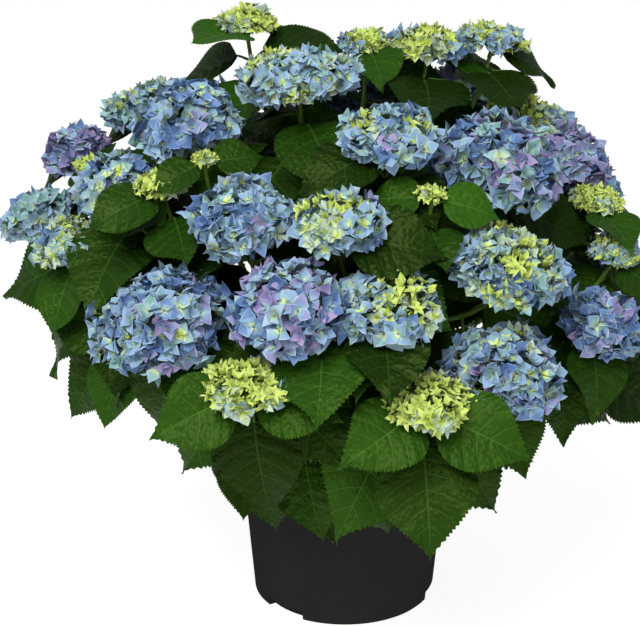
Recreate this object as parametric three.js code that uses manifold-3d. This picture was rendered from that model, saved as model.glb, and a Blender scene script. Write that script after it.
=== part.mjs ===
// A potted mophead hydrangea in flower: a black nursery pot full of soil, a short root crown, seventeen canes,
// and seventy leafy shoots, of which fifty end in a flower head.
// Millimetres, +Z up. The origin is the middle of the pot's flat underside, and the photograph looks along +Y.
import * as THREE from 'three';
import { ConvexGeometry } from 'three/addons/geometries/ConvexGeometry.js';
import { mergeVertices } from 'three/addons/utils/BufferGeometryUtils.js';
import Module from 'manifold-3d';

const wasm = await Module();
wasm.setup();

// Pot: a moulded ten litre nursery container with a turned-down lip and three drain recesses round its foot.
const POT = {
  height: 212, footRadius: 123, shoulderRadius: 141, wall: 2.6, floor: 4, footChamfer: 3,
  lipRadius: 156, lipDrop: 21, lipTop: 3,
  sides: 32,
  recessCount: 3, recessTurn: -42, recessWidth: 30, recessHeight: 14, recessDepth: 12,
  slotWidth: 20, slotHeight: 6, slotSill: 6,
};
const SOIL = { below: 20, crown: 5, clear: 0.3 };

// Root crown: the woody knuckle that all the canes rise from, flared where it stands on the soil.
const CROWN = { knuckle: 32, neck: 25, flare: 36, flareHeight: 14, lift: 36, sides: 14 };

// Canes, in rings. Rise is the angle at which a ring leaves the knuckle, and look is the angle above level
// at which its heads are seen from there. Each cane stops at a share of the way to the heads it carries.
const CANE_RINGS = [
  { name: 'low', count: 8, first: 10, rise: 16, look: 33, reach: 0.42, baseRadius: 5.6, tipRadius: 4.2 },
  { name: 'middle', count: 6, first: 40, rise: 46, look: 52, reach: 0.46, baseRadius: 5.4, tipRadius: 4 },
  { name: 'top', count: 3, first: 90, rise: 76, look: 76, reach: 0.5, baseRadius: 5, tipRadius: 3.8 },
];
const CANE = { sides: 5, steps: 4, clear: 0.3, bend: 0.5 };

// The crown's middle. Outward, for heads and leaves, is away from this point, and the leaves' faces are turned
// a little to the light as well.
const MIDDLE = new THREE.Vector3(0, 0, 340);
const LIGHT = new THREE.Vector3(0, -0.55, 0);

// Flower heads that the photograph shows, as [name, right, back, up, width, ripeness, leaf turn].
// Right, back and up are the head's middle in millimetres. Ripeness runs from 0, green buds, to 1, full
// colour. Leaf turn is the angle of the top pair of leaves.
const SHOWN_HEADS = [
  ['top_left_bud', -126, 40, 765, 78, 0.1, 20],
  ['top_middle_bud', 26, 24, 742, 64, 0.15, 60],
  ['top_right_opening', 104, 30, 736, 96, 0.3, 75],
  ['top_right_bud', 186, 44, 742, 80, 0.2, 85],
  ['top_front', -58, -110, 716, 140, 0.44, 30],
  ['upper_right_inner', 44, -217, 668, 112, 0.55, 20],
  ['upper_right_large', 172, -188, 630, 158, 1, 50],
  ['right_mauve', 276, -62, 610, 92, 1, 80],
  ['right_bud', 300, -127, 573, 60, 0.1, 30],
  ['right_small', 314, -172, 522, 52, 0.25, 75],
  ['right_opening', 174, -292, 530, 138, 0.4, 15],
  ['right_low', 290, -240, 456, 96, 0.9, 44],
  ['front_right_low', 170, -338, 442, 126, 0.75, 60],
  ['front_right_bud', 82, -396, 418, 100, 0.1, 0],
  ['front_middle', 36, -346, 510, 116, 0.5, 80],
  ['front_mauve', -68, -368, 503, 130, 0.85, 70],
  ['front_upper_blue', -115, -290, 590, 114, 0.75, 80],
  ['front_upper_opening', -14, -312, 590, 102, 0.48, 10],
  ['front_left_bud', -106, -398, 446, 88, 0.12, 16],
  ['left_low', -212, -308, 478, 150, 0.8, 95],
  ['left_opening', -329, -134, 522, 94, 0.4, 90],
  ['far_left', -390, -30, 532, 86, 0.7, 70],
  ['left_blue', -272, -138, 594, 104, 0.75, 30],
  ['left_bud', -213, -206, 612, 60, 0.05, 75],
  ['upper_left_back', -250, 10, 662, 100, 0.7, 60],
  ['upper_left_front', -190, -128, 664, 132, 0.85, 20],
  ['left_mauve', -340, 4, 608, 78, 0.9, 65],
  ['left_tiny_bud', -318, -62, 604, 32, 0.05, 10],
  ['upper_left_tiny_bud', -164, -212, 644, 26, 0, 60],
  ['upper_right_tiny_bud', 90, -276, 617, 28, 0, -15],
];

// Flower heads behind, which the photograph hides, in tiers round the back from the right side to the left.
const HIDDEN_TIERS = [
  { name: 'back_low', count: 6, from: -4, to: 172, reach: 360, height: 450 },
  { name: 'back_middle', count: 6, from: 4, to: 160, reach: 318, height: 548 },
  { name: 'back_high', count: 5, from: 12, to: 150, reach: 245, height: 634 },
  { name: 'back_top', count: 3, from: 30, to: 112, reach: 170, height: 680 },
];
const HIDDEN_WIDTHS = [122, 92, 134, 76, 112, 128, 84];
const HIDDEN_RIPENESS = [0.8, 0.15, 0.9, 0.5, 0.7, 0.35, 1];

// Leafy tips with no flower, which close the crown below the heads and hang over the pot's lip in front.
// Droop is how much further than others their leaves hang.
const LEAFY_TIERS = [
  { name: 'skirt', count: 10, from: -4, to: 320, reach: 318, height: 412, droop: 0.1 },
  { name: 'hem', count: 6, from: -24, to: 204, reach: 200, height: 318, droop: 0.45 },
  { name: 'apron', count: 4, from: 232, to: 298, reach: 205, height: 268, droop: 0.9 },
];

// A head is a dome of florets, flatter below, whose axis leans out by a share of its own slope. It stands
// higher, deeper and further leaned out as it ripens.
const YOUNG_HEAD = { rise: 0.28, under: 0.08, lean: 0.12 };
const RIPE_HEAD = { rise: 0.43, under: 0.2, lean: 0.42 };
const HEAD = { spread: 0.86, passes: 12, corePoints: 42, leastPoints: 20, lump: 0.07, solidShare: 0.93 };

// Twigs: three-sided green stems. The lead twig goes on from the cane's tip, and the side twigs fork from
// it. Leaves stand on every twig in pairs, and each pair stands across the pair above.
const TWIG = {
  rootRadius: 4.2, tipRadius: 3.4, sides: 3, steps: 3, pull: 0.36,
  firstFork: 0.1, forkStep: 0.12, forkSpread: 1,
};
const PAIR = { belowHead: 10, first: 30, gap: 44, least: 30, most: 4, turnStep: 47 };
const LEAF = {
  length: 116, width: 0.78, petiole: 24, petioleRadius: 1.5, thick: 1.8, stagger: 1.6,
  shares: [0.8, 1, 1.08, 1], tryShares: [1, 0.86, 0.72], tryTurns: [0, 24, -24],
  open: 58, sag: [0.55, 0.62, 0.85, 0.9], arch: 0.22,
  stations: [0.44], halfWidths: [1],
  margin: 1.05, marginThick: 1.6, touch: 0.001, rootTouch: 8,
};
const JITTER = { fork: 0.05, turn: 16, size: 0.16, sag: 0.2, roll: 0.3 };
const SEED = 4021;
const FUSED_DETAIL = 0.2;

const COLOURS = {
  pot: [0x1c1c1e, 0.55], soil: [0x2e221a, 0.95], bark: [0x6f5a3c, 0.85], leaf: [0x2c5a1d, 0.55],
};

const UP = new THREE.Vector3(0, 0, 1);
const radians = THREE.MathUtils.degToRad;

// A generator of numbers from 0 to 1, so that every shoot draws its own repeatable run of them.
function seededDraws(seed) {
  let state = seed % 2147483647;
  return () => {
    state = (state * 16807) % 2147483647;
    return state / 2147483647;
  };
}

function signedVolume(position, index) {
  const [a, b, c] = [new THREE.Vector3(), new THREE.Vector3(), new THREE.Vector3()];
  let sum = 0;
  for (let i = 0; i < index.length; i += 3) {
    a.fromBufferAttribute(position, index[i]);
    b.fromBufferAttribute(position, index[i + 1]);
    c.fromBufferAttribute(position, index[i + 2]);
    sum += a.dot(b.cross(c)) / 6;
  }
  return sum;
}

// A closed geometry as a solid whose faces point out.
function solidOf(geometry) {
  const bare = geometry.clone();
  bare.deleteAttribute('normal');
  bare.deleteAttribute('uv');
  const merged = mergeVertices(bare, 1e-4);
  const triVerts = new Uint32Array(merged.index.array);
  if (signedVolume(merged.attributes.position, triVerts) < 0) {
    for (let i = 0; i < triVerts.length; i += 3) {
      [triVerts[i + 1], triVerts[i + 2]] = [triVerts[i + 2], triVerts[i + 1]];
    }
  }
  const vertProperties = new Float32Array(merged.attributes.position.array);
  return new wasm.Manifold(new wasm.Mesh({ numProp: 3, vertProperties, triVerts }));
}

function geometryOf(solid) {
  const made = solid.getMesh();
  const position = new Float32Array(made.numVert * 3);
  for (let i = 0; i < made.numVert; i++) {
    position.set(made.vertProperties.subarray(i * made.numProp, i * made.numProp + 3), i * 3);
  }
  const geometry = new THREE.BufferGeometry();
  geometry.setAttribute('position', new THREE.BufferAttribute(position, 3));
  geometry.setIndex(new THREE.BufferAttribute(made.triVerts, 1));
  geometry.computeVertexNormals();
  return geometry;
}

// Moves every vertex of a geometry to where place(x, y, z) says.
function reshape(geometry, place) {
  const position = geometry.attributes.position;
  for (let i = 0; i < position.count; i++) {
    const p = place(position.getX(i), position.getY(i), position.getZ(i));
    position.setXYZ(i, p.x, p.y, p.z);
  }
  return geometry;
}

// A round profile of [radius, height] points, turned about the Z axis.
function turned(profile, sides) {
  const points = profile.map(([r, z]) => new THREE.Vector2(r, z));
  return new THREE.LatheGeometry(points, sides).rotateX(Math.PI / 2);
}

// A tapering limb along a curve.
function limb(curve, rootRadius, tipRadius, sides, steps) {
  const frames = curve.computeFrenetFrames(steps, false);
  const points = curve.getSpacedPoints(steps);
  const unit = new THREE.CylinderGeometry(1, 1, 1, sides, steps);
  return reshape(unit, (x, y, z) => {
    const step = Math.round((y + 0.5) * steps);
    const radius = THREE.MathUtils.lerp(rootRadius, tipRadius, step / steps);
    return points[step].clone()
      .addScaledVector(frames.normals[step], x * radius)
      .addScaledVector(frames.binormals[step], z * radius);
  });
}

// A block bent round the pot's axis, as wide as an angle, between two radii and two heights.
function ringBlock(middle, width, inner, outer, low, high) {
  const unit = new THREE.BoxGeometry(1, 1, 1, 3, 1, 1);
  return solidOf(reshape(unit, (x, y, z) => {
    const angle = radians(middle + x * width);
    const radius = y < 0 ? inner : outer;
    const height = z < 0 ? low : high;
    return new THREE.Vector3(radius * Math.sin(angle), -radius * Math.cos(angle), height);
  }));
}

const recessMiddles = Array.from({ length: POT.recessCount }, (_, i) =>
  POT.recessTurn + (i * 360) / POT.recessCount);

// The recesses round the foot, each grown by a margin towards the soil.
function recesses(margin) {
  const inner = POT.footRadius - POT.recessDepth - margin;
  const widen = 2 * THREE.MathUtils.radToDeg(margin / POT.footRadius);
  return recessMiddles.map((middle) =>
    ringBlock(middle, POT.recessWidth + widen, inner, POT.lipRadius, -10, POT.recessHeight + margin));
}

// The room inside the pot, drawn in by a gap, up to a height.
function potRoom(gap, top, crown) {
  const slope = (POT.shoulderRadius - POT.footRadius) / POT.height;
  const inset = POT.wall + gap;
  const low = POT.floor + gap;
  return solidOf(turned([
    [0, low],
    [POT.footRadius + slope * low - inset - POT.footChamfer, low],
    [POT.footRadius + slope * (low + POT.footChamfer) - inset, low + POT.footChamfer],
    [POT.footRadius + slope * top - inset, top],
    [0, top + crown],
  ], POT.sides));
}

function makePot() {
  const lipInner = POT.lipRadius - POT.wall;
  const underLip = POT.height - POT.lipTop;
  let body = solidOf(turned([
    [0, 0],
    [POT.footRadius - POT.footChamfer, 0],
    [POT.footRadius, POT.footChamfer],
    [POT.shoulderRadius, underLip],
    [lipInner, underLip],
    [lipInner, POT.height - POT.lipDrop],
    [POT.lipRadius, POT.height - POT.lipDrop],
    [POT.lipRadius, POT.height - POT.lipTop],
    [POT.lipRadius - POT.lipTop, POT.height],
    [0, POT.height],
  ], POT.sides));
  let room = potRoom(0, POT.height + 10, 0);
  for (const grown of recesses(POT.wall)) room = room.subtract(grown);
  for (const recess of recesses(0)) body = body.subtract(recess);
  body = body.subtract(room);
  const slotInner = POT.footRadius - POT.recessDepth - 3 * POT.wall;
  const slotAngle = THREE.MathUtils.radToDeg(POT.slotWidth / POT.footRadius);
  for (const middle of recessMiddles) {
    const slot = ringBlock(middle, slotAngle, slotInner, POT.footRadius,
      POT.slotSill, POT.slotSill + POT.slotHeight);
    body = body.subtract(slot);
  }
  return body;
}

function makeSoil() {
  let soil = potRoom(SOIL.clear, POT.height - SOIL.below, SOIL.crown);
  for (const grown of recesses(POT.wall + SOIL.clear)) soil = soil.subtract(grown);
  return soil;
}

const soilTop = POT.height - SOIL.below + SOIL.crown;
const knuckleMiddle = new THREE.Vector3(0, 0, soilTop + CROWN.lift);

function makeRootCrown() {
  const profile = [
    [0, soilTop + SOIL.clear],
    [CROWN.flare, soilTop + SOIL.clear],
    [CROWN.neck, soilTop + CROWN.flareHeight],
  ];
  for (let degrees = -30; degrees < 90; degrees += 24) {
    const angle = radians(degrees);
    profile.push([CROWN.knuckle * Math.cos(angle), knuckleMiddle.z + CROWN.knuckle * Math.sin(angle)]);
  }
  profile.push([0, knuckleMiddle.z + CROWN.knuckle]);
  return solidOf(turned(profile, CROWN.sides));
}

function outwardAt(point) {
  return point.clone().sub(MIDDLE).normalize();
}

// A head's rise, depth and lean at its ripeness.
function headForm(ripeness) {
  return Object.fromEntries(Object.keys(YOUNG_HEAD).map((key) =>
    [key, THREE.MathUtils.lerp(YOUNG_HEAD[key], RIPE_HEAD[key], ripeness)]));
}

// The direction that a head faces: up, leaned out by a share of how far round the crown it stands.
function headAxis(middle, leanShare) {
  const outward = outwardAt(middle);
  const lean = Math.acos(THREE.MathUtils.clamp(outward.z, -1, 1)) * leanShare;
  const flat = new THREE.Vector3(outward.x, outward.y, 0).normalize();
  return flat.multiplyScalar(Math.sin(lean)).addScaledVector(UP, Math.cos(lean));
}

// The places of a tier, from its first bearing to its last.
function tierPlaces(tier) {
  return Array.from({ length: tier.count }, (_, i) => {
    const angle = radians(tier.from + (i / (tier.count - 1)) * (tier.to - tier.from));
    const middle = new THREE.Vector3(tier.reach * Math.cos(angle), tier.reach * Math.sin(angle), tier.height);
    return { name: tier.name + '_' + (i + 1), middle, droop: tier.droop };
  });
}

function planHeads() {
  const heads = SHOWN_HEADS.map(([name, right, back, up, width, ripeness, turn]) =>
    ({ name, middle: new THREE.Vector3(right, back, up), width, ripeness, turn, droop: 0 }));
  HIDDEN_TIERS.flatMap(tierPlaces).forEach(({ name, middle }, i) => heads.push({
    name,
    middle,
    width: HIDDEN_WIDTHS[i % HIDDEN_WIDTHS.length],
    ripeness: HIDDEN_RIPENESS[i % HIDDEN_RIPENESS.length],
    turn: PAIR.turnStep * i,
    droop: 0,
  }));
  spreadHeads(heads);
  LEAFY_TIERS.flatMap(tierPlaces).forEach((place, i) =>
    heads.push({ ...place, width: 0, ripeness: 0, turn: PAIR.turnStep * i }));
  heads.forEach((head, index) => {
    head.index = index;
    head.form = headForm(head.ripeness);
    head.axis = head.middle.clone().sub(knuckleMiddle).normalize();
    if (head.width > 0) head.axis = headAxis(head.middle, head.form.lean);
    head.base = head.middle.clone().addScaledVector(head.axis, -head.form.under * head.width);
  });
  return heads;
}

// Heads that crowd each other are eased apart. The ones that the photograph shows give way to each other
// alone, and the hidden ones give way to all.
function spreadHeads(heads) {
  for (let pass = 0; pass < HEAD.passes; pass++) {
    for (let i = 0; i < heads.length; i++) {
      for (let j = i + 1; j < heads.length; j++) {
        const line = heads[j].middle.clone().sub(heads[i].middle);
        const short = (HEAD.spread * (heads[i].width + heads[j].width)) / 2 - line.length();
        if (short <= 0) continue;
        const held = i < SHOWN_HEADS.length && j >= SHOWN_HEADS.length;
        const given = held ? 0 : short / 2;
        line.normalize();
        heads[i].middle.addScaledVector(line, -given);
        heads[j].middle.addScaledVector(line, short - given);
      }
    }
  }
}

function planCanes() {
  const canes = [];
  for (const ring of CANE_RINGS) {
    for (let i = 0; i < ring.count; i++) {
      const turn = radians(ring.first + (i * 360) / ring.count);
      canes.push({ name: ring.name + '_' + (i + 1), ring, look: bearing(turn, radians(ring.look)), heads: [] });
    }
  }
  return canes;
}

function bearing(turn, rise) {
  return new THREE.Vector3(
    Math.cos(turn) * Math.cos(rise),
    Math.sin(turn) * Math.cos(rise),
    Math.sin(rise),
  );
}

// Every head goes to the cane that looks its way. The cane then leaves the knuckle square to it, and bends
// to a tip on the way to the middle of its heads.
function growCanes(canes, heads) {
  for (const head of heads) {
    const way = head.base.clone().sub(knuckleMiddle).normalize();
    const best = canes.reduce((a, b) => (b.look.dot(way) > a.look.dot(way) ? b : a));
    best.heads.push(head);
  }
  for (const cane of canes) {
    const goal = new THREE.Vector3();
    const blooms = cane.heads.filter((head) => head.width > 0);
    blooms.forEach((head) => goal.addScaledVector(head.base, 1 / blooms.length));
    const way = goal.clone().sub(knuckleMiddle);
    const leave = bearing(Math.atan2(way.y, way.x), radians(cane.ring.rise));
    const root = knuckleMiddle.clone().addScaledVector(leave, CROWN.knuckle + CANE.clear);
    cane.tip = root.clone().lerp(goal, cane.ring.reach);
    const bend = root.clone().addScaledVector(leave, root.distanceTo(cane.tip) * CANE.bend);
    cane.curve = new THREE.QuadraticBezierCurve3(root, bend, cane.tip);
  }
}

// The head most in line with the cane ends the lead twig, and the others sit on side twigs, lowest first.
function planTwigs(cane) {
  const ahead = cane.curve.getTangentAt(1);
  const root = cane.tip.clone().addScaledVector(ahead, CANE.clear);
  const inLine = (head) => head.base.clone().sub(root).normalize().dot(ahead);
  const [lead, ...sides] = [...cane.heads].sort((a, b) => inLine(b) - inLine(a));
  traceTwig(lead, root, ahead);
  sides.sort((a, b) => a.base.z - b.base.z);
  sides.forEach((head, order) => {
    const draw = seededDraws(SEED + 31 * head.index);
    const share = TWIG.firstFork + order * TWIG.forkStep + JITTER.fork * (draw() - 0.5);
    const from = along(lead, share);
    const side = head.base.clone().sub(from.point);
    side.addScaledVector(from.ahead, -side.dot(from.ahead)).normalize();
    traceTwig(head, from.point, from.ahead.addScaledVector(side, TWIG.forkSpread).normalize());
  });
}

// A twig leaves its start in one direction and comes into the head along the head's own axis.
function traceTwig(head, start, leave) {
  const pull = start.distanceTo(head.base) * TWIG.pull;
  head.curve = new THREE.CubicBezierCurve3(
    start,
    start.clone().addScaledVector(leave, pull),
    head.middle.clone().addScaledVector(head.axis, -pull),
    head.middle.clone(),
  );
  head.points = head.curve.getSpacedPoints(TWIG.steps);
  head.length = head.curve.getLength();
}

// The point and direction at a share of the way along a twig's straight steps.
function along(head, share) {
  const step = Math.min(Math.floor(share * TWIG.steps), TWIG.steps - 1);
  const [a, b] = [head.points[step], head.points[step + 1]];
  const point = a.clone().lerp(b, share * TWIG.steps - step);
  return { point, ahead: b.clone().sub(a).normalize() };
}

// Points spread evenly over a ball by the golden angle.
function evenDirections(count) {
  return Array.from({ length: count }, (_, i) => {
    const height = 1 - (2 * i + 1) / count;
    const ring = Math.sqrt(1 - height * height);
    const angle = i * Math.PI * (3 - Math.sqrt(5));
    return new THREE.Vector3(ring * Math.cos(angle), ring * Math.sin(angle), height);
  });
}

// A head as a lumpy dome: every third point of an even net stands out, as the florets do.
function headSolid(head) {
  const count = Math.max(HEAD.leastPoints, Math.round(HEAD.corePoints * Math.min(1, head.width / 100)));
  const net = evenDirections(count);
  const turn = new THREE.Quaternion().setFromUnitVectors(UP, head.axis);
  const half = (head.width / 2) * HEAD.solidShare;
  return solidOf(reshape(new ConvexGeometry(net), (x, y, z) => {
    const p = new THREE.Vector3(x, y, z);
    let nearest = 0;
    net.forEach((q, i) => {
      if (q.distanceToSquared(p) < net[nearest].distanceToSquared(p)) nearest = i;
    });
    const lump = 1 + HEAD.lump * ((nearest % 3) - 1);
    p.multiplyScalar(half * lump);
    p.z *= 2 * (z > 0 ? head.form.rise : head.form.under);
    return p.applyQuaternion(turn).add(head.middle);
  }));
}

// Where the leaves of a twig are wanted, from the top pair down, each with its own small differences.
function planLeaves(head) {
  const draw = seededDraws(SEED + 97 * head.index);
  const small = head.width > 0 ? THREE.MathUtils.clamp(0.55 + head.width / 200, 0.7, 1.05) : 1;
  const leaves = [];
  let down = head.form.under * head.width + PAIR.belowHead;
  for (let pair = 0; pair < PAIR.most && head.length - down > PAIR.least; pair++) {
    const share = 1 - down / head.length;
    for (let side = 0; side < 2; side++) {
      const turn = head.turn + 90 * pair + 180 * side + JITTER.turn * (draw() - 0.5);
      const size = LEAF.shares[pair] * small * (1 + JITTER.size * (draw() - 0.5));
      const sag = LEAF.sag[pair] + head.droop + JITTER.sag * (draw() - 0.5);
      const roll = JITTER.roll * (draw() - 0.5);
      leaves.push({ pair, side, share, turn, size, sag, roll });
    }
    down += pair === 0 ? PAIR.first : PAIR.gap;
  }
  return leaves;
}

// The leaf's own axes at its twig: where the stalk points, where the blade points and the blade's face.
function leafAxes(head, leaf) {
  const { point: root, ahead } = along(head, leaf.share);
  root.addScaledVector(ahead, (leaf.side - 0.5) * LEAF.stagger);
  const level = new THREE.Vector3().crossVectors(UP, ahead);
  if (level.lengthSq() < 1e-4) level.set(1, 0, 0);
  const across = level.normalize().applyAxisAngle(ahead, radians(leaf.turn));
  const open = radians(LEAF.open);
  const stalk = ahead.clone().multiplyScalar(Math.cos(open)).addScaledVector(across, Math.sin(open));
  const blade = stalk.clone().addScaledVector(UP, -leaf.sag).normalize();
  const face = outwardAt(root).multiplyScalar(0.5).addScaledVector(UP, 0.6).add(LIGHT);
  face.addScaledVector(blade, -face.dot(blade)).normalize();
  face.applyAxisAngle(blade, leaf.roll);
  const edge = new THREE.Vector3().crossVectors(blade, face);
  return { root, stalk, blade, face, edge };
}

// A leaf with its stalk: a three-sided spindle, drawn out flat to the blade's outline, that arches down.
// The margin widens the blade, and the extra thickness is shared by its two faces.
function leafGeometry(head, leaf, margin, extraThick) {
  const { root, stalk, blade, face, edge } = leafAxes(head, leaf);
  const length = LEAF.length * leaf.size;
  const neck = root.clone().addScaledVector(stalk, LEAF.petiole * leaf.size);
  const onBlade = (share) => neck.clone().addScaledVector(blade, share * length)
    .addScaledVector(face, -LEAF.arch * length * share * share);
  const rings = [
    { at: root, half: LEAF.petioleRadius, deep: LEAF.petioleRadius, lift: 0 },
    { at: neck, half: LEAF.petioleRadius, deep: LEAF.petioleRadius, lift: 0 },
  ];
  LEAF.stations.forEach((share, i) => rings.push({
    at: onBlade(share),
    half: ((LEAF.width * length) / 2) * LEAF.halfWidths[i] * margin,
    deep: LEAF.thick + extraThick,
    lift: extraThick / 2,
  }));
  rings.push({ at: onBlade(1), half: 0, deep: 0, lift: 0 });
  return spindle(rings, edge, face);
}

// A closed three-sided spindle through rings: two corners on the edge line, and one that is sunk below it.
function spindle(rings, edge, face) {
  const corners = [[-1, 0], [1, 0], [0, -1]];
  const last = rings.length - 1;
  const points = [];
  rings.forEach((ring, i) => {
    for (const [x, z] of i === last ? [[0, 0]] : corners) {
      points.push(ring.at.clone().addScaledVector(edge, x * ring.half)
        .addScaledVector(face, z * ring.deep + ring.lift));
    }
  });
  const index = [0, 1, 2];
  for (let i = 0; i < last; i++) {
    for (let side = 0; side < 3; side++) {
      const [a, b] = [3 * i + side, 3 * i + ((side + 1) % 3)];
      if (i === last - 1) index.push(a, 3 * last, b);
      else index.push(a, a + 3, b, b, a + 3, b + 3);
    }
  }
  const geometry = new THREE.BufferGeometry().setFromPoints(points);
  geometry.setIndex(index);
  return geometry;
}

// Everything that a leaf has to stay clear of, with the twig that it belongs to.
const taken = [];

function take(solid, twig, isStem = false) {
  taken.push({ solid, twig, isStem, box: solid.boundingBox() });
}

function boxesMeet(a, b) {
  return [0, 1, 2].every((i) => a.min[i] <= b.max[i] && b.min[i] <= a.max[i]);
}

// Leaves of one twig may meet at their roots, and nothing else may touch.
function touchesOthers(solid, twig) {
  const box = solid.boundingBox();
  return taken.some((other) => {
    const own = other.twig === twig;
    if ((own && other.isStem) || !boxesMeet(box, other.box)) return false;
    return solid.intersect(other.solid).volume() > (own ? LEAF.rootTouch : LEAF.touch);
  });
}

// The leaf at the largest of its sizes that stays clear of its neighbours, turned aside where that helps.
function fitLeaf(head, leaf) {
  for (const share of LEAF.tryShares) {
    for (const aside of LEAF.tryTurns) {
      const tried = { ...leaf, size: leaf.size * share, turn: leaf.turn + aside };
      const envelope = solidOf(leafGeometry(head, tried, LEAF.margin, LEAF.marginThick));
      if (!touchesOthers(envelope, head.name)) return solidOf(leafGeometry(head, tried, 1, 0));
    }
  }
  return null;
}

// Twigs and heads come first, and then the leaves, one pair at a time over the whole crown.
function growMasses(heads) {
  for (const head of heads) {
    const twig = solidOf(limb(head.curve, TWIG.rootRadius, TWIG.tipRadius, TWIG.sides, TWIG.steps));
    head.pieces = [twig];
    take(twig, head.name, true);
    if (head.width > 0) {
      const bloom = headSolid(head);
      head.pieces.push(bloom);
      take(bloom, head.name);
    }
    head.wanted = planLeaves(head);
  }
  for (let pair = 0; pair < PAIR.most; pair++) {
    for (const head of heads) {
      for (const leaf of head.wanted.filter((one) => one.pair === pair)) {
        const blade = fitLeaf(head, leaf);
        if (!blade) continue;
        head.pieces.push(blade);
        take(blade, head.name);
      }
    }
  }
}

// One solid of all the pieces. Hollows that the joins seal are filled, and its flat faces are made whole.
function fuse(pieces) {
  const joined = wasm.Manifold.union(pieces).asOriginal().simplify(FUSED_DETAIL);
  return joined.decompose().reduce((a, b) => (b.volume() > a.volume() ? b : a));
}

const materials = Object.fromEntries(Object.entries(COLOURS).map(([name, [color, roughness]]) =>
  [name, new THREE.MeshStandardMaterial({ name, color, roughness, metalness: 0 })]));

const plant = new THREE.Group();
plant.name = 'potted_hydrangea';

function addPart(name, solid, material) {
  const mesh = new THREE.Mesh(geometryOf(solid), material);
  mesh.name = name;
  plant.add(mesh);
}

const pot = makePot();
const soil = makeSoil();
const rootCrown = makeRootCrown();
addPart('pot', pot, materials.pot);
addPart('potting_soil', soil, materials.soil);
addPart('root_crown', rootCrown, materials.bark);
take(pot, 'pot');
take(soil, 'potting_soil');
take(rootCrown, 'root_crown');

const canes = planCanes();
const heads = planHeads();
growCanes(canes, heads);
for (const cane of canes) {
  const { baseRadius, tipRadius } = cane.ring;
  const solid = solidOf(limb(cane.curve, baseRadius, tipRadius, CANE.sides, CANE.steps));
  addPart('cane_' + cane.name, solid, materials.bark);
  take(solid, cane.name);
  planTwigs(cane);
}

growMasses(heads);
for (const cane of canes) {
  const pieces = cane.heads.flatMap((head) => head.pieces);
  addPart('mass_' + cane.name, fuse(pieces), materials.leaf);
}

export default plant;
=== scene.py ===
"""A potted mophead hydrangea in flower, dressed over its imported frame.

The pot, soil, root crown and canes are modelled pieces. Twigs, leaves and flower heads grow from the tips
of the canes by the same rule as the frame's solids, which they replace.
"""
import functools
import math
import random
from typing import NamedTuple

import bmesh
import bpy
import numpy as np
from bpy.props import FloatProperty, FloatVectorProperty, IntProperty, PointerProperty
from mathutils import Matrix, Quaternion, Vector, noise
from mathutils.bvhtree import BVHTree


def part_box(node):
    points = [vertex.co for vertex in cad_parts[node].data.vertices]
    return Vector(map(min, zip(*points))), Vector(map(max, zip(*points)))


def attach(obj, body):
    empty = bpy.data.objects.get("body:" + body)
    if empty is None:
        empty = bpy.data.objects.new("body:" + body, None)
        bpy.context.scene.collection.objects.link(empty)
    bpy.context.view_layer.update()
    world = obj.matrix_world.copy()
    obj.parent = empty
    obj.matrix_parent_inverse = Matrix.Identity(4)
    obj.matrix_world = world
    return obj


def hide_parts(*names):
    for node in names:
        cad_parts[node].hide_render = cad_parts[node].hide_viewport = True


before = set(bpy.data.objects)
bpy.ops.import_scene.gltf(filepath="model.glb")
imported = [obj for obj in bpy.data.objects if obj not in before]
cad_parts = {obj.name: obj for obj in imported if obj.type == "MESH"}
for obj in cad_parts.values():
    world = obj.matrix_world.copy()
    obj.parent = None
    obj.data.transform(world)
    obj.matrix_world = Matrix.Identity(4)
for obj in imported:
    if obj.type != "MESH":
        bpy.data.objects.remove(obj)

bl_info = {
    "name": "Potted hydrangea",
    "version": (1, 0, 0),
    "blender": (4, 5, 0),
    "location": "3D View > Sidebar > Hydrangea",
    "description": "Builds a potted hydrangea in flower, its pot, soil, canes, leaves and flower heads",
    "category": "Object",
}

MM = 0.001
UP = Vector((0, 0, 1))
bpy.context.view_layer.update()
MASS_NODES = sorted(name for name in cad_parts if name.startswith("mass_"))

# The plant's rule, in millimetres, as the frame's solids follow it.
KNUCKLE = Vector((0, 0, 233))
KNUCKLE_RADIUS = 32
POT_FOOT = 123
MIDDLE = Vector((0, 0, 340))
LIGHT = Vector((0, -0.55, 0))
SEED = 4021
CLEAR = 0.3
CANE_BEND = 0.5

# Canes, in rings: name, count, first bearing, rise, look, reach, base radius and tip radius.
CANE_RINGS = [
    ("low", 8, 10, 16, 33, 0.42, 5.6, 4.2),
    ("middle", 6, 40, 46, 52, 0.46, 5.4, 4.0),
    ("top", 3, 90, 76, 76, 0.5, 5.0, 3.8),
]

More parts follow.
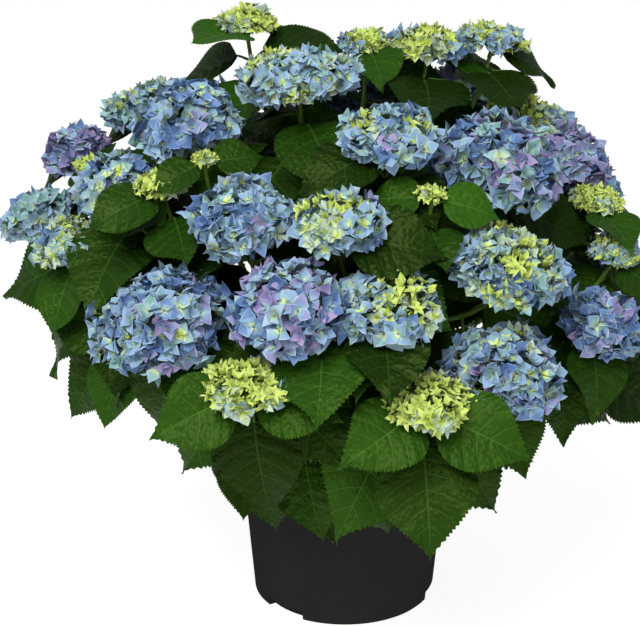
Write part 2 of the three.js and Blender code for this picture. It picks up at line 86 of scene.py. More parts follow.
# Flower heads that the photograph shows: name, right, back, up, width, ripeness, violet, aqua, leaf turn.
# Ripeness runs from 0, green buds, to 1, full colour. Violet and aqua are the shares of those two tints.
SHOWN_HEADS = [
    ("top_left_bud", -126, 40, 765, 78, 0.1, 0, 0, 20),
    ("top_middle_bud", 26, 24, 742, 64, 0.15, 0, 0, 60),
    ("top_right_opening", 104, 30, 736, 96, 0.3, 0.05, 0.2, 75),
    ("top_right_bud", 186, 44, 742, 80, 0.2, 0.4, 0, 85),
    ("top_front", -58, -110, 716, 140, 0.44, 0, 0.9, 30),
    ("upper_right_inner", 44, -217, 668, 112, 0.55, 0.03, 0.5, 20),
    ("upper_right_large", 172, -188, 630, 158, 1, 0.2, 0.5, 50),
    ("right_mauve", 276, -62, 610, 92, 1, 0.9, 0, 80),
    ("right_bud", 300, -127, 573, 60, 0.1, 0, 0, 30),
    ("right_small", 314, -172, 522, 52, 0.25, 0.4, 0, 75),
    ("right_opening", 174, -292, 530, 138, 0.4, 0.05, 0.4, 15),
    ("right_low", 290, -240, 456, 96, 0.9, 0.25, 0, 44),
    ("front_right_low", 170, -338, 442, 126, 0.75, 0.15, 0.3, 60),
    ("front_right_bud", 82, -396, 418, 100, 0.1, 0, 0, 0),
    ("front_middle", 36, -346, 510, 116, 0.5, 0, 0.7, 80),
    ("front_mauve", -68, -368, 503, 130, 0.85, 0.36, 0.1, 70),
    ("front_upper_blue", -115, -290, 590, 114, 0.75, 0.08, 0.45, 80),
    ("front_upper_opening", -14, -312, 590, 102, 0.48, 0.03, 0.4, 10),
    ("front_left_bud", -106, -398, 446, 88, 0.12, 0, 0, 16),
    ("left_low", -212, -308, 478, 150, 0.8, 0.1, 0.15, 95),
    ("left_opening", -329, -134, 522, 94, 0.4, 0, 0.2, 90),
    ("far_left", -390, -30, 532, 86, 0.7, 0, 0.9, 70),
    ("left_blue", -272, -138, 594, 104, 0.75, 0.05, 0.4, 30),
    ("left_bud", -213, -206, 612, 60, 0.05, 0, 0, 75),
    ("upper_left_back", -250, 10, 662, 100, 0.7, 0, 0.8, 60),
    ("upper_left_front", -190, -128, 664, 132, 0.85, 0.14, 0.3, 20),
    ("left_mauve", -340, 4, 608, 78, 0.9, 0.5, 0.2, 65),
    ("left_tiny_bud", -318, -62, 604, 32, 0.05, 0, 0, 10),
    ("upper_left_tiny_bud", -164, -212, 644, 26, 0, 0, 0, 60),
    ("upper_right_tiny_bud", 90, -276, 617, 28, 0, 0, 0, -15),
]

# Tiers of heads behind: name, count, first bearing, last bearing, reach and height.
HIDDEN_TIERS = [
    ("back_low", 6, -4, 172, 360, 450),
    ("back_middle", 6, 4, 160, 318, 548),
    ("back_high", 5, 12, 150, 245, 634),
    ("back_top", 3, 30, 112, 170, 680),
]
# Tiers of leafy tips, which end with how much further than others their leaves hang.
LEAFY_TIERS = [
    ("skirt", 10, -4, 320, 318, 412, 0.1),
    ("hem", 6, -24, 204, 200, 318, 0.45),
    ("apron", 4, 232, 298, 205, 268, 0.9),
]
HIDDEN_WIDTHS = [122, 92, 134, 76, 112, 128, 84]
HIDDEN_RIPENESS = [0.8, 0.15, 0.9, 0.5, 0.7, 0.35, 1]
HIDDEN_VIOLET = [0.2, 0, 0.7, 0.1, 0.4]
HIDDEN_AQUA = [0.2, 0.6, 0]

# A head is a dome. It stands higher, deeper and further leaned out as it ripens: rise, depth and lean.
YOUNG_HEAD, RIPE_HEAD = (0.28, 0.08, 0.12), (0.43, 0.2, 0.42)
HEAD = {"spread": 0.86, "passes": 12, "leaf_clear": 0.85}
TWIG = {"pull": 0.36, "first_fork": 0.1, "fork_step": 0.12, "fork_spread": 1.0, "steps": 18}
PAIR = {"below_head": 10, "first": 30, "gap": 44, "least": 30, "most": 4, "turn_step": 47}
LEAF = {
    "petiole": 24, "open": 58, "stagger": 1.6, "face_out": 0.5, "face_up": 0.6,
    "shares": [0.8, 1, 1.08, 1], "sag": [0.55, 0.62, 0.85, 0.9],
    "try_shares": [1, 0.86, 0.72], "try_turns": [0, 24, -24], "reach": 0.62,
}
# Leaves under a small head are small too: a share that grows with the head's width, between two limits.
UNDER_HEAD = {"share": 0.55, "full_width": 200, "least": 0.7, "most": 1.05}
JITTER = {"fork": 0.05, "turn": 16, "size": 0.16, "sag": 0.2, "roll": 0.3}


def linear(hex_colour):
    """An sRGB hex colour as linear red, green and blue, with full alpha."""
    channels = [int(hex_colour[i:i + 2], 16) / 255 for i in (1, 3, 5)]
    return tuple(c / 12.92 if c <= 0.04045 else ((c + 0.055) / 1.055) ** 2.4 for c in channels) + (1.0,)


def between(start, end, share):
    """The value a share of the way from start to end."""
    return start + (end - start) * share


def seeded_draws(seed):
    """A generator of numbers from 0 to 1, so that every shoot draws its own repeatable run of them."""
    modulus, factor = 2147483647, 16807
    state = seed % modulus

    def draw():
        nonlocal state
        state = state * factor % modulus
        return state / modulus

    return draw


def bearing(turn, rise):
    """The direction at a bearing round Z and an angle above level, both in degrees."""
    turn, rise = math.radians(turn), math.radians(rise)
    return Vector((math.cos(turn) * math.cos(rise), math.sin(turn) * math.cos(rise), math.sin(rise)))


class Line:
    """A smooth curve from the first of its controls to the last, as evenly spaced points."""

    FINE_STEPS = 96

    def __init__(self, controls, steps):
        fine = [self.blended(controls, i / self.FINE_STEPS) for i in range(self.FINE_STEPS + 1)]
        run = np.cumsum([0.0] + [(b - a).length for a, b in zip(fine, fine[1:])])
        places = np.array(fine)
        even = np.linspace(0, run[-1], steps + 1)
        self.length = float(run[-1])
        self.points = [Vector([np.interp(e, run, places[:, axis]) for axis in range(3)]) for e in even]

    @staticmethod
    def blended(controls, share):
        """The curve's point, from its controls blended in pairs until one is left."""
        while len(controls) > 1:
            controls = [a.lerp(b, share) for a, b in zip(controls, controls[1:])]
        return controls[0]

    def at(self, share):
        """The point and direction at a share of the way along."""
        steps = len(self.points) - 1
        step = max(0, min(int(share * steps), steps - 1))
        a, b = self.points[step], self.points[step + 1]
        return a.lerp(b, share * steps - step), (b - a).normalized()


class Shoot:
    """A twig from its fork to its flower head, or to a leafy tip where the width is 0."""

    def __init__(self, name, middle, width=0.0, ripeness=0.0, violet=0.0, aqua=0.0, turn=0.0, droop=0.0):
        self.name, self.middle, self.width, self.turn = name, Vector(middle), width, turn
        self.ripeness, self.violet, self.aqua, self.droop = ripeness, violet, aqua, droop
        self.rise, self.under, self.lean = (
            between(young, ripe, ripeness) for young, ripe in zip(YOUNG_HEAD, RIPE_HEAD))

    def settle(self, index):
        """Finds the way the head faces and the foot that its twig comes in by."""
        self.index = index
        if self.width:
            outward = (self.middle - MIDDLE).normalized()
            lean = math.acos(max(-1.0, min(1.0, outward.z))) * self.lean
            flat = Vector((outward.x, outward.y, 0)).normalized()
            self.axis = flat * math.sin(lean) + UP * math.cos(lean)
        else:
            self.axis = (self.middle - KNUCKLE).normalized()
        self.base = self.middle - self.axis * self.under * self.width
        self.facing = UP.rotation_difference(self.axis).to_matrix()

    def trace(self, start, leave):
        """The twig leaves its start in one direction and comes into the head along the head's own axis."""
        pull = (start - self.base).length * TWIG["pull"]
        controls = [start, start + leave * pull, self.middle - self.axis * pull, self.middle]
        self.line = Line(controls, TWIG["steps"])


class Cane:
    """One bough, from the knuckle to the foot of its shoots."""

    def __init__(self, ring, number):
        name, count, first, self.rise, look, self.reach, self.base_radius, self.tip_radius = ring
        self.name = f"cane_{name}_{number + 1}"
        self.look = bearing(first + number * 360 / count, look)
        self.shoots = []

    def grow(self):
        """The cane leaves the knuckle square to it and bends to a tip on the way to its heads."""
        blooms = [shoot for shoot in self.shoots if shoot.width]
        goal = sum((shoot.base for shoot in blooms), Vector()) / len(blooms)
        way = goal - KNUCKLE
        leave = bearing(math.degrees(math.atan2(way.y, way.x)), self.rise)
        root = KNUCKLE + leave * (KNUCKLE_RADIUS + CLEAR)
        tip = root.lerp(goal, self.reach)
        bend = root + leave * (root - tip).length * CANE_BEND
        self.line = Line([root, bend, tip], TWIG["steps"])
        self.ahead = (tip - bend).normalized()
        self.fork(tip + self.ahead * CLEAR)

    def fork(self, root):
        """The shoot most in line with the cane ends the lead twig. Others fork off it, lowest first."""
        in_line = sorted(self.shoots, key=lambda shoot: -(shoot.base - root).normalized().dot(self.ahead))
        lead, sides = in_line[0], sorted(in_line[1:], key=lambda shoot: shoot.base.z)
        lead.trace(root, self.ahead)
        for order, shoot in enumerate(sides):
            draw = seeded_draws(SEED + 31 * shoot.index)
            share = TWIG["first_fork"] + order * TWIG["fork_step"] + JITTER["fork"] * (draw() - 0.5)
            point, ahead = lead.line.at(share)
            side = shoot.base - point
            side = (side - ahead * side.dot(ahead)).normalized()
            shoot.trace(point, (ahead + side * TWIG["fork_spread"]).normalized())


def tier_places(tier):
    """The named places of a tier, from its first bearing to its last."""
    name, count, first, last, reach, height = tier[:6]
    for i in range(count):
        angle = math.radians(first + i / (count - 1) * (last - first))
        yield f"{name}_{i + 1}", (reach * math.cos(angle), reach * math.sin(angle), height)


def plan_shoots():
    """Every shoot's head or tip, with crowded heads eased apart."""
    shoots = [Shoot(name, (x, y, z), *rest) for name, x, y, z, *rest in SHOWN_HEADS]
    hidden = [place for tier in HIDDEN_TIERS for place in tier_places(tier)]
    for i, (name, middle) in enumerate(hidden):
        tints = [row[i % len(row)] for row in (HIDDEN_WIDTHS, HIDDEN_RIPENESS, HIDDEN_VIOLET, HIDDEN_AQUA)]
        shoots.append(Shoot(name, middle, *tints, PAIR["turn_step"] * i))
    for _ in range(HEAD["passes"]):
        spread_heads(shoots)
    leafy = [(*place, tier[-1]) for tier in LEAFY_TIERS for place in tier_places(tier)]
    shoots += [Shoot(name, middle, turn=PAIR["turn_step"] * i, droop=droop)
               for i, (name, middle, droop) in enumerate(leafy)]
    for index, shoot in enumerate(shoots):
        shoot.settle(index)
    return shoots


def spread_heads(shoots):
    """Shown heads give way to each other alone, and hidden heads give way to all."""
    for i, a in enumerate(shoots):
        for j in range(i + 1, len(shoots)):
            b = shoots[j]
            way = b.middle - a.middle
            short = HEAD["spread"] * (a.width + b.width) / 2 - way.length
            if short <= 0:
                continue
            given = 0 if i < len(SHOWN_HEADS) <= j else short / 2
            way.normalize()
            a.middle -= way * given
            b.middle += way * (short - given)


@functools.cache
def grown_canes():
    """All the canes with their shoots traced."""
    canes = [Cane(ring, number) for ring in CANE_RINGS for number in range(ring[1])]
    for shoot in plan_shoots():
        way = (shoot.base - KNUCKLE).normalized()
        max(canes, key=lambda cane: cane.look.dot(way)).shoots.append(shoot)
    for cane in canes:
        cane.grow()
    return canes


@functools.cache
def all_shoots():
    """Every shoot, in the order of its index."""
    shoots = [shoot for cane in grown_canes() for shoot in cane.shoots]
    return sorted(shoots, key=lambda shoot: shoot.index)


# Leaf blades. A blade is a unit long, along +Y, and faces along +Z. Its rows follow its side veins.
VEIN_SHARES = [0.03, 0.13, 0.25, 0.39, 0.54, 0.7]
VEIN_HALF = 0.0042
BLADE = {
    "half_width": 0.43, "shoulder": 0.72, "round_foot": 0.66, "drawn_tip": 0.85, "sweep": 0.56,
    "lobe": 1.35, "outs": [1, 0.5, 0, 0, 0.5, 1], "flatter_out": 0.55, "mean_fold": 0.65,
    "waves": 8.2, "wave_apart": 1.7,
    "rib": 0.012, "foot": 0.04, "foot_power": 8, "keel": 0.036, "keel_power": 0.35,
    "quilt": 0.038, "furrow": -0.2, "vein_taper": 0.7, "fan_drop": 0.003,
    "tooth": 0.016, "tooth_cuts": 3, "full_tooth_at": 0.1,
}
BLADE_TOP, BLADE_VEIN, BLADE_UNDER = range(3)

# Blade forms: how far the blade arches down, how steeply its halves fold up, how far its margin waves, and
# how far it bends aside.
BLADE_FORMS = [
    (0.12, 14, 0.03, 0.04), (0.2, 20, 0.04, -0.05), (0.26, 9, 0.045, 0.06), (0.3, 17, 0.035, -0.03),
    (0.34, 12, 0.05, 0.05), (0.2, 6, 0.06, -0.06),
]


def blade_half_width(y):
    """The outline's half width: rounded at the foot and drawn out to a long point."""
    y = min(max(y, 0.0), 1.0)
    swell = max(math.sin(math.pi * y ** BLADE["shoulder"]), 0.0)
    return BLADE["half_width"] * swell ** (BLADE["round_foot"] + BLADE["drawn_tip"] * y)


def blade_rows():
    """Shares along the midrib of the rows: two for each side vein, and one on the crest between veins."""
    rows = [0.0]
    for vein, following in zip(VEIN_SHARES, VEIN_SHARES[1:] + [1.0]):
        rows += [vein - VEIN_HALF, vein + VEIN_HALF, (vein + following) / 2]
    return rows + [1.0]


def blade_point(t, side, out, form, phase, crest, notch):
    """A place on the blade: a share along the midrib, a side, and a share out from there to the margin."""
    arch, fold, wave, bend = form
    vein = min(VEIN_SHARES, key=lambda share: abs(share - t))
    on_vein = abs(t - vein) < 1.5 * VEIN_HALF
    if on_vein:
        t -= (t - vein) * BLADE["vein_taper"] * out
    margin = t ** BLADE["sweep"]
    half = blade_half_width(margin) + BLADE["foot"] * (1 - t) ** BLADE["foot_power"]
    x = half * out if out else BLADE["rib"] * (1 - t)
    y = t + (margin - t) * out ** BLADE["lobe"]
    if out == 1 and not notch:
        depth = BLADE["tooth"] * min(1.0, half / BLADE["full_tooth_at"])
        x, y = x + depth, y + depth
    z = x * math.tan(math.radians(fold)) * (1 - BLADE["flatter_out"] * out) - arch * y * y
    z += wave * out * math.sin(BLADE["waves"] * t + phase + BLADE["wave_apart"] * side)
    if 0 < out < 1:
        z += BLADE["quilt"] * (half / BLADE["half_width"]) * (1 if crest else BLADE["furrow"])
    if side == 0:
        z -= BLADE["keel"] * (1 - t) ** BLADE["keel_power"]
    return Vector((side * x + bend * y * y, y, z))


def blade_prototype(form, phase):
    """One toothed, quilted blade. Its underside is a plainer skin with a keel. Both meet at the margin."""
    rows, outs = blade_rows(), BLADE["outs"]
    last_row, last_column = len(rows) - 1, len(outs) - 1
    upper, lower = Matrix.Translation((0.5, 0.5, 1)), Matrix.Translation((0.5, 0.5, 0))
    bm = bmesh.new()
    bmesh.ops.create_grid(bm, x_segments=last_column, y_segments=last_row, size=0.5, matrix=upper)
    bmesh.ops.create_grid(bm, x_segments=2, y_segments=last_row, size=0.5, matrix=lower)
    bmesh.ops.scale(bm, verts=bm.verts, vec=(last_column, last_row, 1))
    for face in bm.faces:
        middle = face.calc_center_median()
        on_rib, on_vein = abs(middle.x - last_column / 2) < 0.4, int(middle.y) % 3 == 1
        face.material_index = BLADE_VEIN if on_rib or on_vein else BLADE_TOP
        if middle.z < 0.5:
            face.material_index = BLADE_UNDER
    bmesh.ops.reverse_faces(bm, faces=[face for face in bm.faces if face.material_index == BLADE_UNDER])
    margins = [e for e in bm.edges if e.is_boundary and abs(e.verts[0].co.x - e.verts[1].co.x) < 0.5
               and int(min(v.co.y for v in e.verts) + 0.1) % 3 != 1]
    bmesh.ops.subdivide_edges(bm, edges=margins, cuts=BLADE["tooth_cuts"])
    plain = [e for e in bm.edges if not e.is_boundary and e.verts[0].co.z < 0.5
             and abs(e.verts[0].co.y - e.verts[1].co.y) < 0.1 and round(e.verts[0].co.y) % 3 == 2]
    bmesh.ops.dissolve_edges(bm, edges=plain, use_verts=False)
    for v in bm.verts:
        side = (v.co.x > last_column / 2 + 0.1) - (v.co.x < last_column / 2 - 0.1)
        out = outs[round(v.co.x)] if side else 0
        row = round(v.co.y, 3)
        t = float(np.interp(row, range(len(rows)), rows))
        crest, notch = row == round(row) and round(row) % 3 == 0, row * 2 != round(row * 2)
        v.co = blade_point(t, side, out, form, phase, crest, notch)
    bmesh.ops.remove_doubles(bm, verts=bm.verts, dist=1e-5)
    bmesh.ops.holes_fill(bm, edges=[e for e in bm.edges if e.is_boundary])
    lower = [face for face in bm.faces if face.material_index == BLADE_UNDER]
    bmesh.ops.poke(bm, faces=lower, offset=BLADE["fan_drop"], center_mode="MEAN")
    return Prototype(bm)


# Florets. A floret is a unit wide and looks along +Z: sepals in a ring round a small bead.
SEPAL = {
    "rows": [0, 0.2, 0.45, 0.74, 1], "half_widths": [0.14, 0.68, 1, 0.58, 0],
    "columns": [-1, -0.78, 0, 0.78, 1], "rim_tint_and_highlight_from": 0.3,
    "least_fold": 0.25, "fold": 0.55, "twist": 1.3, "curl": 0.9, "curl_down": 0.55, "cup_out": 0.7,
    "crumple": 0.12,
}
# Sepals stand in pairs. One pair is longer and lies lower than the other, and each turns a little aside.
RING = {"longer": 0.07, "lower": 7, "aside": 50, "bead": 0.045, "bead_height": 0.04}
# Zones of a floret. The rim along a sepal's edges has a tint that is partly the edge's own colour and
# partly a painted highlight.
THROAT, INNER, OUTER, RIM_TINT_AND_HIGHLIGHT, BEAD = range(5)

# Floret forms: kind, count of sepals, width over length, rise in degrees, cup and unevenness.
FLORET_FORMS = [
    ("open", 4, 0.94, 10, 0.2, 0.2), ("open", 4, 0.86, 22, 0.3, 0.24),
    ("open", 4, 1.0, 0, -0.2, 0.26), ("open", 4, 0.9, 16, -0.3, 0.3),
    ("cupped", 4, 0.84, 42, 0.2, 0.24), ("cupped", 4, 0.9, 56, -0.3, 0.3),
    ("cupped", 4, 0.78, 34, 0.35, 0.34), ("cupped", 4, 0.8, 48, -0.4, 0.3),
    ("star", 4, 0.62, 40, 0.1, 0.2), ("star", 4, 0.56, 54, -0.25, 0.26),
    ("star", 5, 0.52, 30, -0.2, 0.2), ("star", 4, 0.6, 64, 0.2, 0.3),
]


def sepal(bm, width, cup, draw):
    """One pointed sepal along +Y from the origin, folded along its middle and crumpled."""
    rows, columns = SEPAL["rows"], SEPAL["columns"]
    steps, paces = len(columns) - 1, len(rows) - 1
    fold = SEPAL["least_fold"] + SEPAL["fold"] * draw()
    twist = SEPAL["twist"] * (draw() - 0.5)
    curl = SEPAL["curl"] * (draw() - SEPAL["curl_down"])
    made = bmesh.ops.create_grid(bm, x_segments=steps, y_segments=paces, size=0.5)["verts"]
    for face in {face for v in made for face in v.link_faces}:
        middle = face.calc_center_median()
        row = int((middle.y + 0.5) * paces)
        face.material_index = [THROAT, INNER, OUTER, OUTER][row]
        # Faces near a sepal's edges take the rim tint, which is partly the edge's own colour and partly a
        # painted highlight.
        if row and abs(middle.x) > SEPAL["rim_tint_and_highlight_from"]:
            face.material_index = RIM_TINT_AND_HIGHLIGHT
    for v in made:
        side = columns[round((v.co.x + 0.5) * steps)]
        row = round((v.co.y + 0.5) * paces)
        y = rows[row]
        half = width / 2 * SEPAL["half_widths"][row]
        z = cup * y * (y - SEPAL["cup_out"]) + curl * y ** 3 + half * (abs(side) * fold + side * twist * y)
        v.co = Vector((side * half, y, z + SEPAL["crumple"] * (draw() - 0.5)))
    tip = [v for v in made if v.co.y > 0.99]
    bmesh.ops.pointmerge(bm, verts=tip, merge_co=sum((v.co for v in tip), Vector()) / len(tip))
    return [v for v in made if v.is_valid]


def floret_prototype(count, width, rise, cup, uneven, seed):
    """A ring of sepals, each a little different, round one bead."""
    draw = seeded_draws(SEED + 1009 * (seed + 1))
    bm = bmesh.new()
    for i in range(count):
        verts = sepal(bm, width, cup, draw)
        pair = 1 if i % 2 else -1
        size = 0.5 * (1 + RING["longer"] * pair) * (1 + uneven * (draw() - 0.5))
        tilt = math.radians(rise * (1 + 2 * uneven * (draw() - 0.5)) - RING["lower"] * pair)
        turn = math.radians(360 * i / count + RING["aside"] * uneven * (draw() - 0.5))
        matrix = Matrix.Rotation(turn, 4, "Z") @ Matrix.Rotation(tilt, 4, "X") @ Matrix.Scale(size, 4)
        bmesh.ops.transform(bm, matrix=matrix, verts=verts)
    bead = bmesh.ops.create_uvsphere(bm, u_segments=4, v_segments=2, radius=RING["bead"])["verts"]
    bmesh.ops.translate(bm, verts=bead, vec=(0, 0, RING["bead_height"]))
    for face in {face for v in bead for face in v.link_faces}:
        face.material_index = BEAD
    return Prototype(bm)


def bead_prototype(long=1.15):
    """An unopened floret, a little longer than wide."""
    bm = bmesh.new()
    bmesh.ops.create_icosphere(bm, subdivisions=1, radius=0.5)
    bmesh.ops.scale(bm, verts=bm.verts, vec=(1, 1, long))
    return Prototype(bm)


def stalk_prototype(sides=4, tip=0.8):
    """A stalk of unit radius and length along +Z, tapering a little."""
    bm = bmesh.new()
    bmesh.ops.create_cone(bm, cap_ends=True, segments=sides, radius1=1, radius2=tip, depth=1)
    bmesh.ops.translate(bm, verts=bm.verts, vec=(0, 0, 0.5))
    return Prototype(bm)


CRUMB = {"uneven": 0.5, "lumps": 2.2, "apart": 7.3, "stretch": (1.3, 0.9, 0.6)}


def crumb_prototype(seed):
    """A lump of peat or bark."""
    bm = bmesh.new()
    bmesh.ops.create_icosphere(bm, subdivisions=1, radius=0.5)
    own_place = Vector((seed * CRUMB["apart"], 0, 0))
    for v in bm.verts:
        v.co *= 1 + CRUMB["uneven"] * noise.noise(v.co * CRUMB["lumps"] + own_place)
    bmesh.ops.scale(bm, verts=bm.verts, vec=CRUMB["stretch"])
    return Prototype(bm)


class Prototype:
    """A small mesh kept as arrays, to be copied many times."""

    def __init__(self, bm):
        bm.verts.index_update()
        self.verts = np.array([v.co for v in bm.verts])
        self.corners = np.array([v.index for face in bm.faces for v in face.verts])
        self.sizes = np.array([len(face.verts) for face in bm.faces])
        self.zones = np.array([face.material_index for face in bm.faces])
        bm.free()


class Copies:
    """A mesh in the making: copies of prototypes, each with its matrix and a finish for each zone."""

    def __init__(self, name):
        self.name, self.groups, self.finishes = name, {}, []

    def add(self, prototype, matrix, *finishes):
        """Notes one more copy."""
        for finish in finishes:
            if finish not in self.finishes:
                self.finishes.append(finish)
        slots = [self.finishes.index(finish) for finish in finishes]
        group = self.groups.setdefault(id(prototype), (prototype, [], []))
        group[1].append(np.array(matrix))
        group[2].append(slots)

    def build(self):
        """The piece, with the copies of each prototype worked out at once."""
        verts, corners, sizes, slots, base = [], [], [], [], 0
        for prototype, matrices, finishes in self.groups.values():
            placed = np.array(matrices)
            count, each = len(placed), len(prototype.verts)
            moved = np.einsum("nij,vj->nvi", placed[:, :3, :3], prototype.verts) + placed[:, None, :3, 3]
            shifts = base + each * np.arange(count)
            verts.append(moved.reshape(-1, 3))
            corners.append((prototype.corners[None] + shifts[:, None]).ravel())
            sizes.append(np.tile(prototype.sizes, count))
            slots.append(np.array(finishes)[:, prototype.zones].ravel())
            base += count * each
        mesh = mesh_from_arrays(self.name, *map(np.concatenate, (verts, corners, sizes, slots)))
        piece = bpy.data.objects.new(self.name, mesh)
        bpy.context.scene.collection.objects.link(piece)
        for finish in self.finishes:
            mesh.materials.append(finish_named(finish))
        return piece


# Faces of leaves and florets that meet at more than this angle, in degrees, show an edge between them.
CREASE = 75


def mesh_from_arrays(name, verts, corners, sizes, slots):
    """A mesh from places in millimetres, face corners, face sizes and material slots."""
    mesh = bpy.data.meshes.new(name)
    mesh.vertices.add(len(verts))
    mesh.vertices.foreach_set("co", (verts * MM).astype(np.float32).ravel())
    mesh.loops.add(len(corners))
    mesh.loops.foreach_set("vertex_index", corners.astype(np.int32))
    mesh.polygons.add(len(sizes))
    mesh.polygons.foreach_set("loop_start", np.concatenate(([0], np.cumsum(sizes)[:-1])).astype(np.int32))
    mesh.polygons.foreach_set("material_index", slots.astype(np.int32))
    mesh.update(calc_edges=True)
    mesh.validate()
    mesh.shade_smooth()
    mesh.set_sharp_from_angle(angle=math.radians(CREASE))
    return mesh


def placed(origin, x, y, z):
    """A matrix from an origin and three axes that carry their own lengths."""
    matrix = Matrix((x, y, z)).transposed().to_4x4()
    matrix.translation = origin
    return matrix


def along(start, end, radius):
    """The matrix of a stalk from start to end."""
    way = end - start
    turn = UP.rotation_difference(way).to_matrix()
    return placed(start, turn.col[0] * radius, turn.col[1] * radius, way)


# Leaves: where they stand, how they are turned, and which of them fit.
class Leaf:
    """One leaf of a shoot, with its stalk and its blade's axes."""

    OUTLINE_ROWS = (0.0, 0.2, 0.45, 0.7, 0.95)

    def __init__(self, shoot, pair, side, share, turn, size, sag, roll):
        self.shoot, self.pair, self.side, self.share = shoot, pair, side, share
        self.turn, self.size, self.sag, self.roll = turn, size, sag, roll
        self.form = (3 * shoot.index + 2 * pair + side) % len(BLADE_FORMS)

    def stand(self, size_share=1.0, aside=0.0):
        """Finds the leaf's axes at a share of its size and turned aside."""
        root, ahead = self.shoot.line.at(self.share)
        self.root = root + ahead * (self.side - 0.5) * LEAF["stagger"]
        level = UP.cross(ahead)
        level = level.normalized() if level.length > 1e-2 else Vector((1, 0, 0))
        across = Quaternion(ahead, math.radians(self.turn + aside)) @ level
        open_angle = math.radians(LEAF["open"])
        self.stalk = ahead * math.cos(open_angle) + across * math.sin(open_angle)
        self.blade = (self.stalk - UP * self.sag).normalized()
        face = (self.root - MIDDLE).normalized() * LEAF["face_out"] + UP * LEAF["face_up"] + LIGHT
        face = (face - self.blade * face.dot(self.blade)).normalized()
        self.face = Quaternion(self.blade, self.roll) @ face
        self.edge = self.blade.cross(self.face)
        self.grown = self.size * size_share
        self.length = bpy.context.scene.hydrangea_plant.leaf_length / MM * self.grown
        self.neck = self.root + self.stalk * LEAF["petiole"] * self.grown

    def matrix(self):
        """The matrix that puts a blade prototype in the leaf's place."""
        return placed(self.neck, *(way * self.length for way in (self.edge, self.blade, self.face)))

    def outline(self):
        """A coarse blade for testing what it touches, in three columns."""
        arch, fold = BLADE_FORMS[self.form][:2]
        slope = math.tan(math.radians(fold))
        points = []
        for y in self.OUTLINE_ROWS:
            half = blade_half_width(y)
            for side in (-1, 0, 1):
                lift = half * abs(side) * slope * BLADE["mean_fold"] - arch * y * y
                way = self.edge * side * half + self.blade * y + self.face * lift
                points.append(self.neck + way * self.length)
        rows = range(len(self.OUTLINE_ROWS) - 1)
        faces = [(i, i + 1, i + 4, i + 3) for row in rows for i in (3 * row, 3 * row + 1)]
        return points, faces


def planned_leaves(shoot):
    """Where the leaves of a shoot are wanted, from the top pair down, each a little different."""
    draw = seeded_draws(SEED + 97 * shoot.index)
    small = 1
    if shoot.width:
        small = UNDER_HEAD["share"] + shoot.width / UNDER_HEAD["full_width"]
        small = max(UNDER_HEAD["least"], min(UNDER_HEAD["most"], small))
    down = shoot.under * shoot.width + PAIR["below_head"]
    pair = 0
    while pair < PAIR["most"] and shoot.line.length - down > PAIR["least"]:
        for side in range(2):
            turn = shoot.turn + 90 * pair + 180 * side + JITTER["turn"] * (draw() - 0.5)
            size = LEAF["shares"][pair] * small * (1 + JITTER["size"] * (draw() - 0.5))
            sag = LEAF["sag"][pair] + shoot.droop + JITTER["sag"] * (draw() - 0.5)
            roll = JITTER["roll"] * (draw() - 0.5)
            yield Leaf(shoot, pair, side, 1 - down / shoot.line.length, turn, size, sag, roll)
        down += PAIR["gap"] if pair else PAIR["first"]
        pair += 1


def head_room(shoot):
    """A function that tells whether any of some points lies in the shoot's flower head."""
    half = shoot.width / 2
    to_head = np.array(shoot.facing.transposed())
    middle = np.array(shoot.middle)

    def holds(points):
        local = (points - middle) @ to_head.T
        height = np.where(local[:, 2] > 0, 2 * shoot.rise, 2 * shoot.under) * half
        depths = (local[:, 0] ** 2 + local[:, 1] ** 2) / half ** 2 + (local[:, 2] / height) ** 2
        return bool(np.any(depths < HEAD["leaf_clear"]))

    return holds


def pot_room():
    """The middle, reach and surface of the pot, as leaves have to stay clear of it."""
    low, high = (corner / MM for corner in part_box("pot"))
    bm = bmesh.new()
    bmesh.ops.create_cone(bm, cap_ends=True, segments=24, radius1=POT_FOOT, radius2=high.x, depth=high.z,
                          matrix=Matrix.Translation((low + high) / 2))
    tree = BVHTree.FromBMesh(bm)
    bm.free()
    return np.array((low + high) / 2), high.length, tree


@functools.cache
def grown_leaves():
    """Every leaf that stays clear of the heads and the leaves before it, pair by pair over the crown."""
    shoots = all_shoots()
    rooms = [(shoot, head_room(shoot)) for shoot in shoots if shoot.width]
    wanted = [leaf for shoot in shoots for leaf in planned_leaves(shoot)]
    taken, kept = [pot_room()], []
    for leaf in sorted(wanted, key=lambda leaf: (leaf.pair, leaf.shoot.index, leaf.side)):
        if fits(leaf, rooms, taken):
            kept.append(leaf)
    return kept


def fits(leaf, rooms, taken):
    """Tries the leaf's sizes and turns, and takes the first place that is free."""
    for size_share in LEAF["try_shares"]:
        for aside in LEAF["try_turns"]:
            leaf.stand(size_share, aside)
            points, faces = leaf.outline()
            places = np.array(points)
            middle, reach = places.mean(0), leaf.length * LEAF["reach"]
            near = [holds for shoot, holds in rooms
                    if np.linalg.norm(np.array(shoot.middle) - middle) < reach + shoot.width / 2]
            if any(holds(places) for holds in near):
                continue
            tree = BVHTree.FromPolygons(points, faces)
            if any(np.linalg.norm(middle - other[0]) < reach + other[1] and tree.overlap(other[2])
                   for other in taken):
                continue
            taken.append((middle, reach, tree))
            return True
    return False


# Flower heads: where their florets stand, how ripe each is, and the tints that it wears.
TINTS = {
    "deep_blue": "#4d6894", "blue": "#617ca6", "sky": "#7c99b6", "aqua": "#86a8a8", "teal": "#6f968f",
    "lavender": "#8483ac", "mauve": "#9485aa", "violet": "#716f9a", "pale": "#a9bc98",
    "mist": "#94abbc", "cream": "#bfcd8e",
    "lime": "#b6c85c", "green_lime": "#98b03e",
}
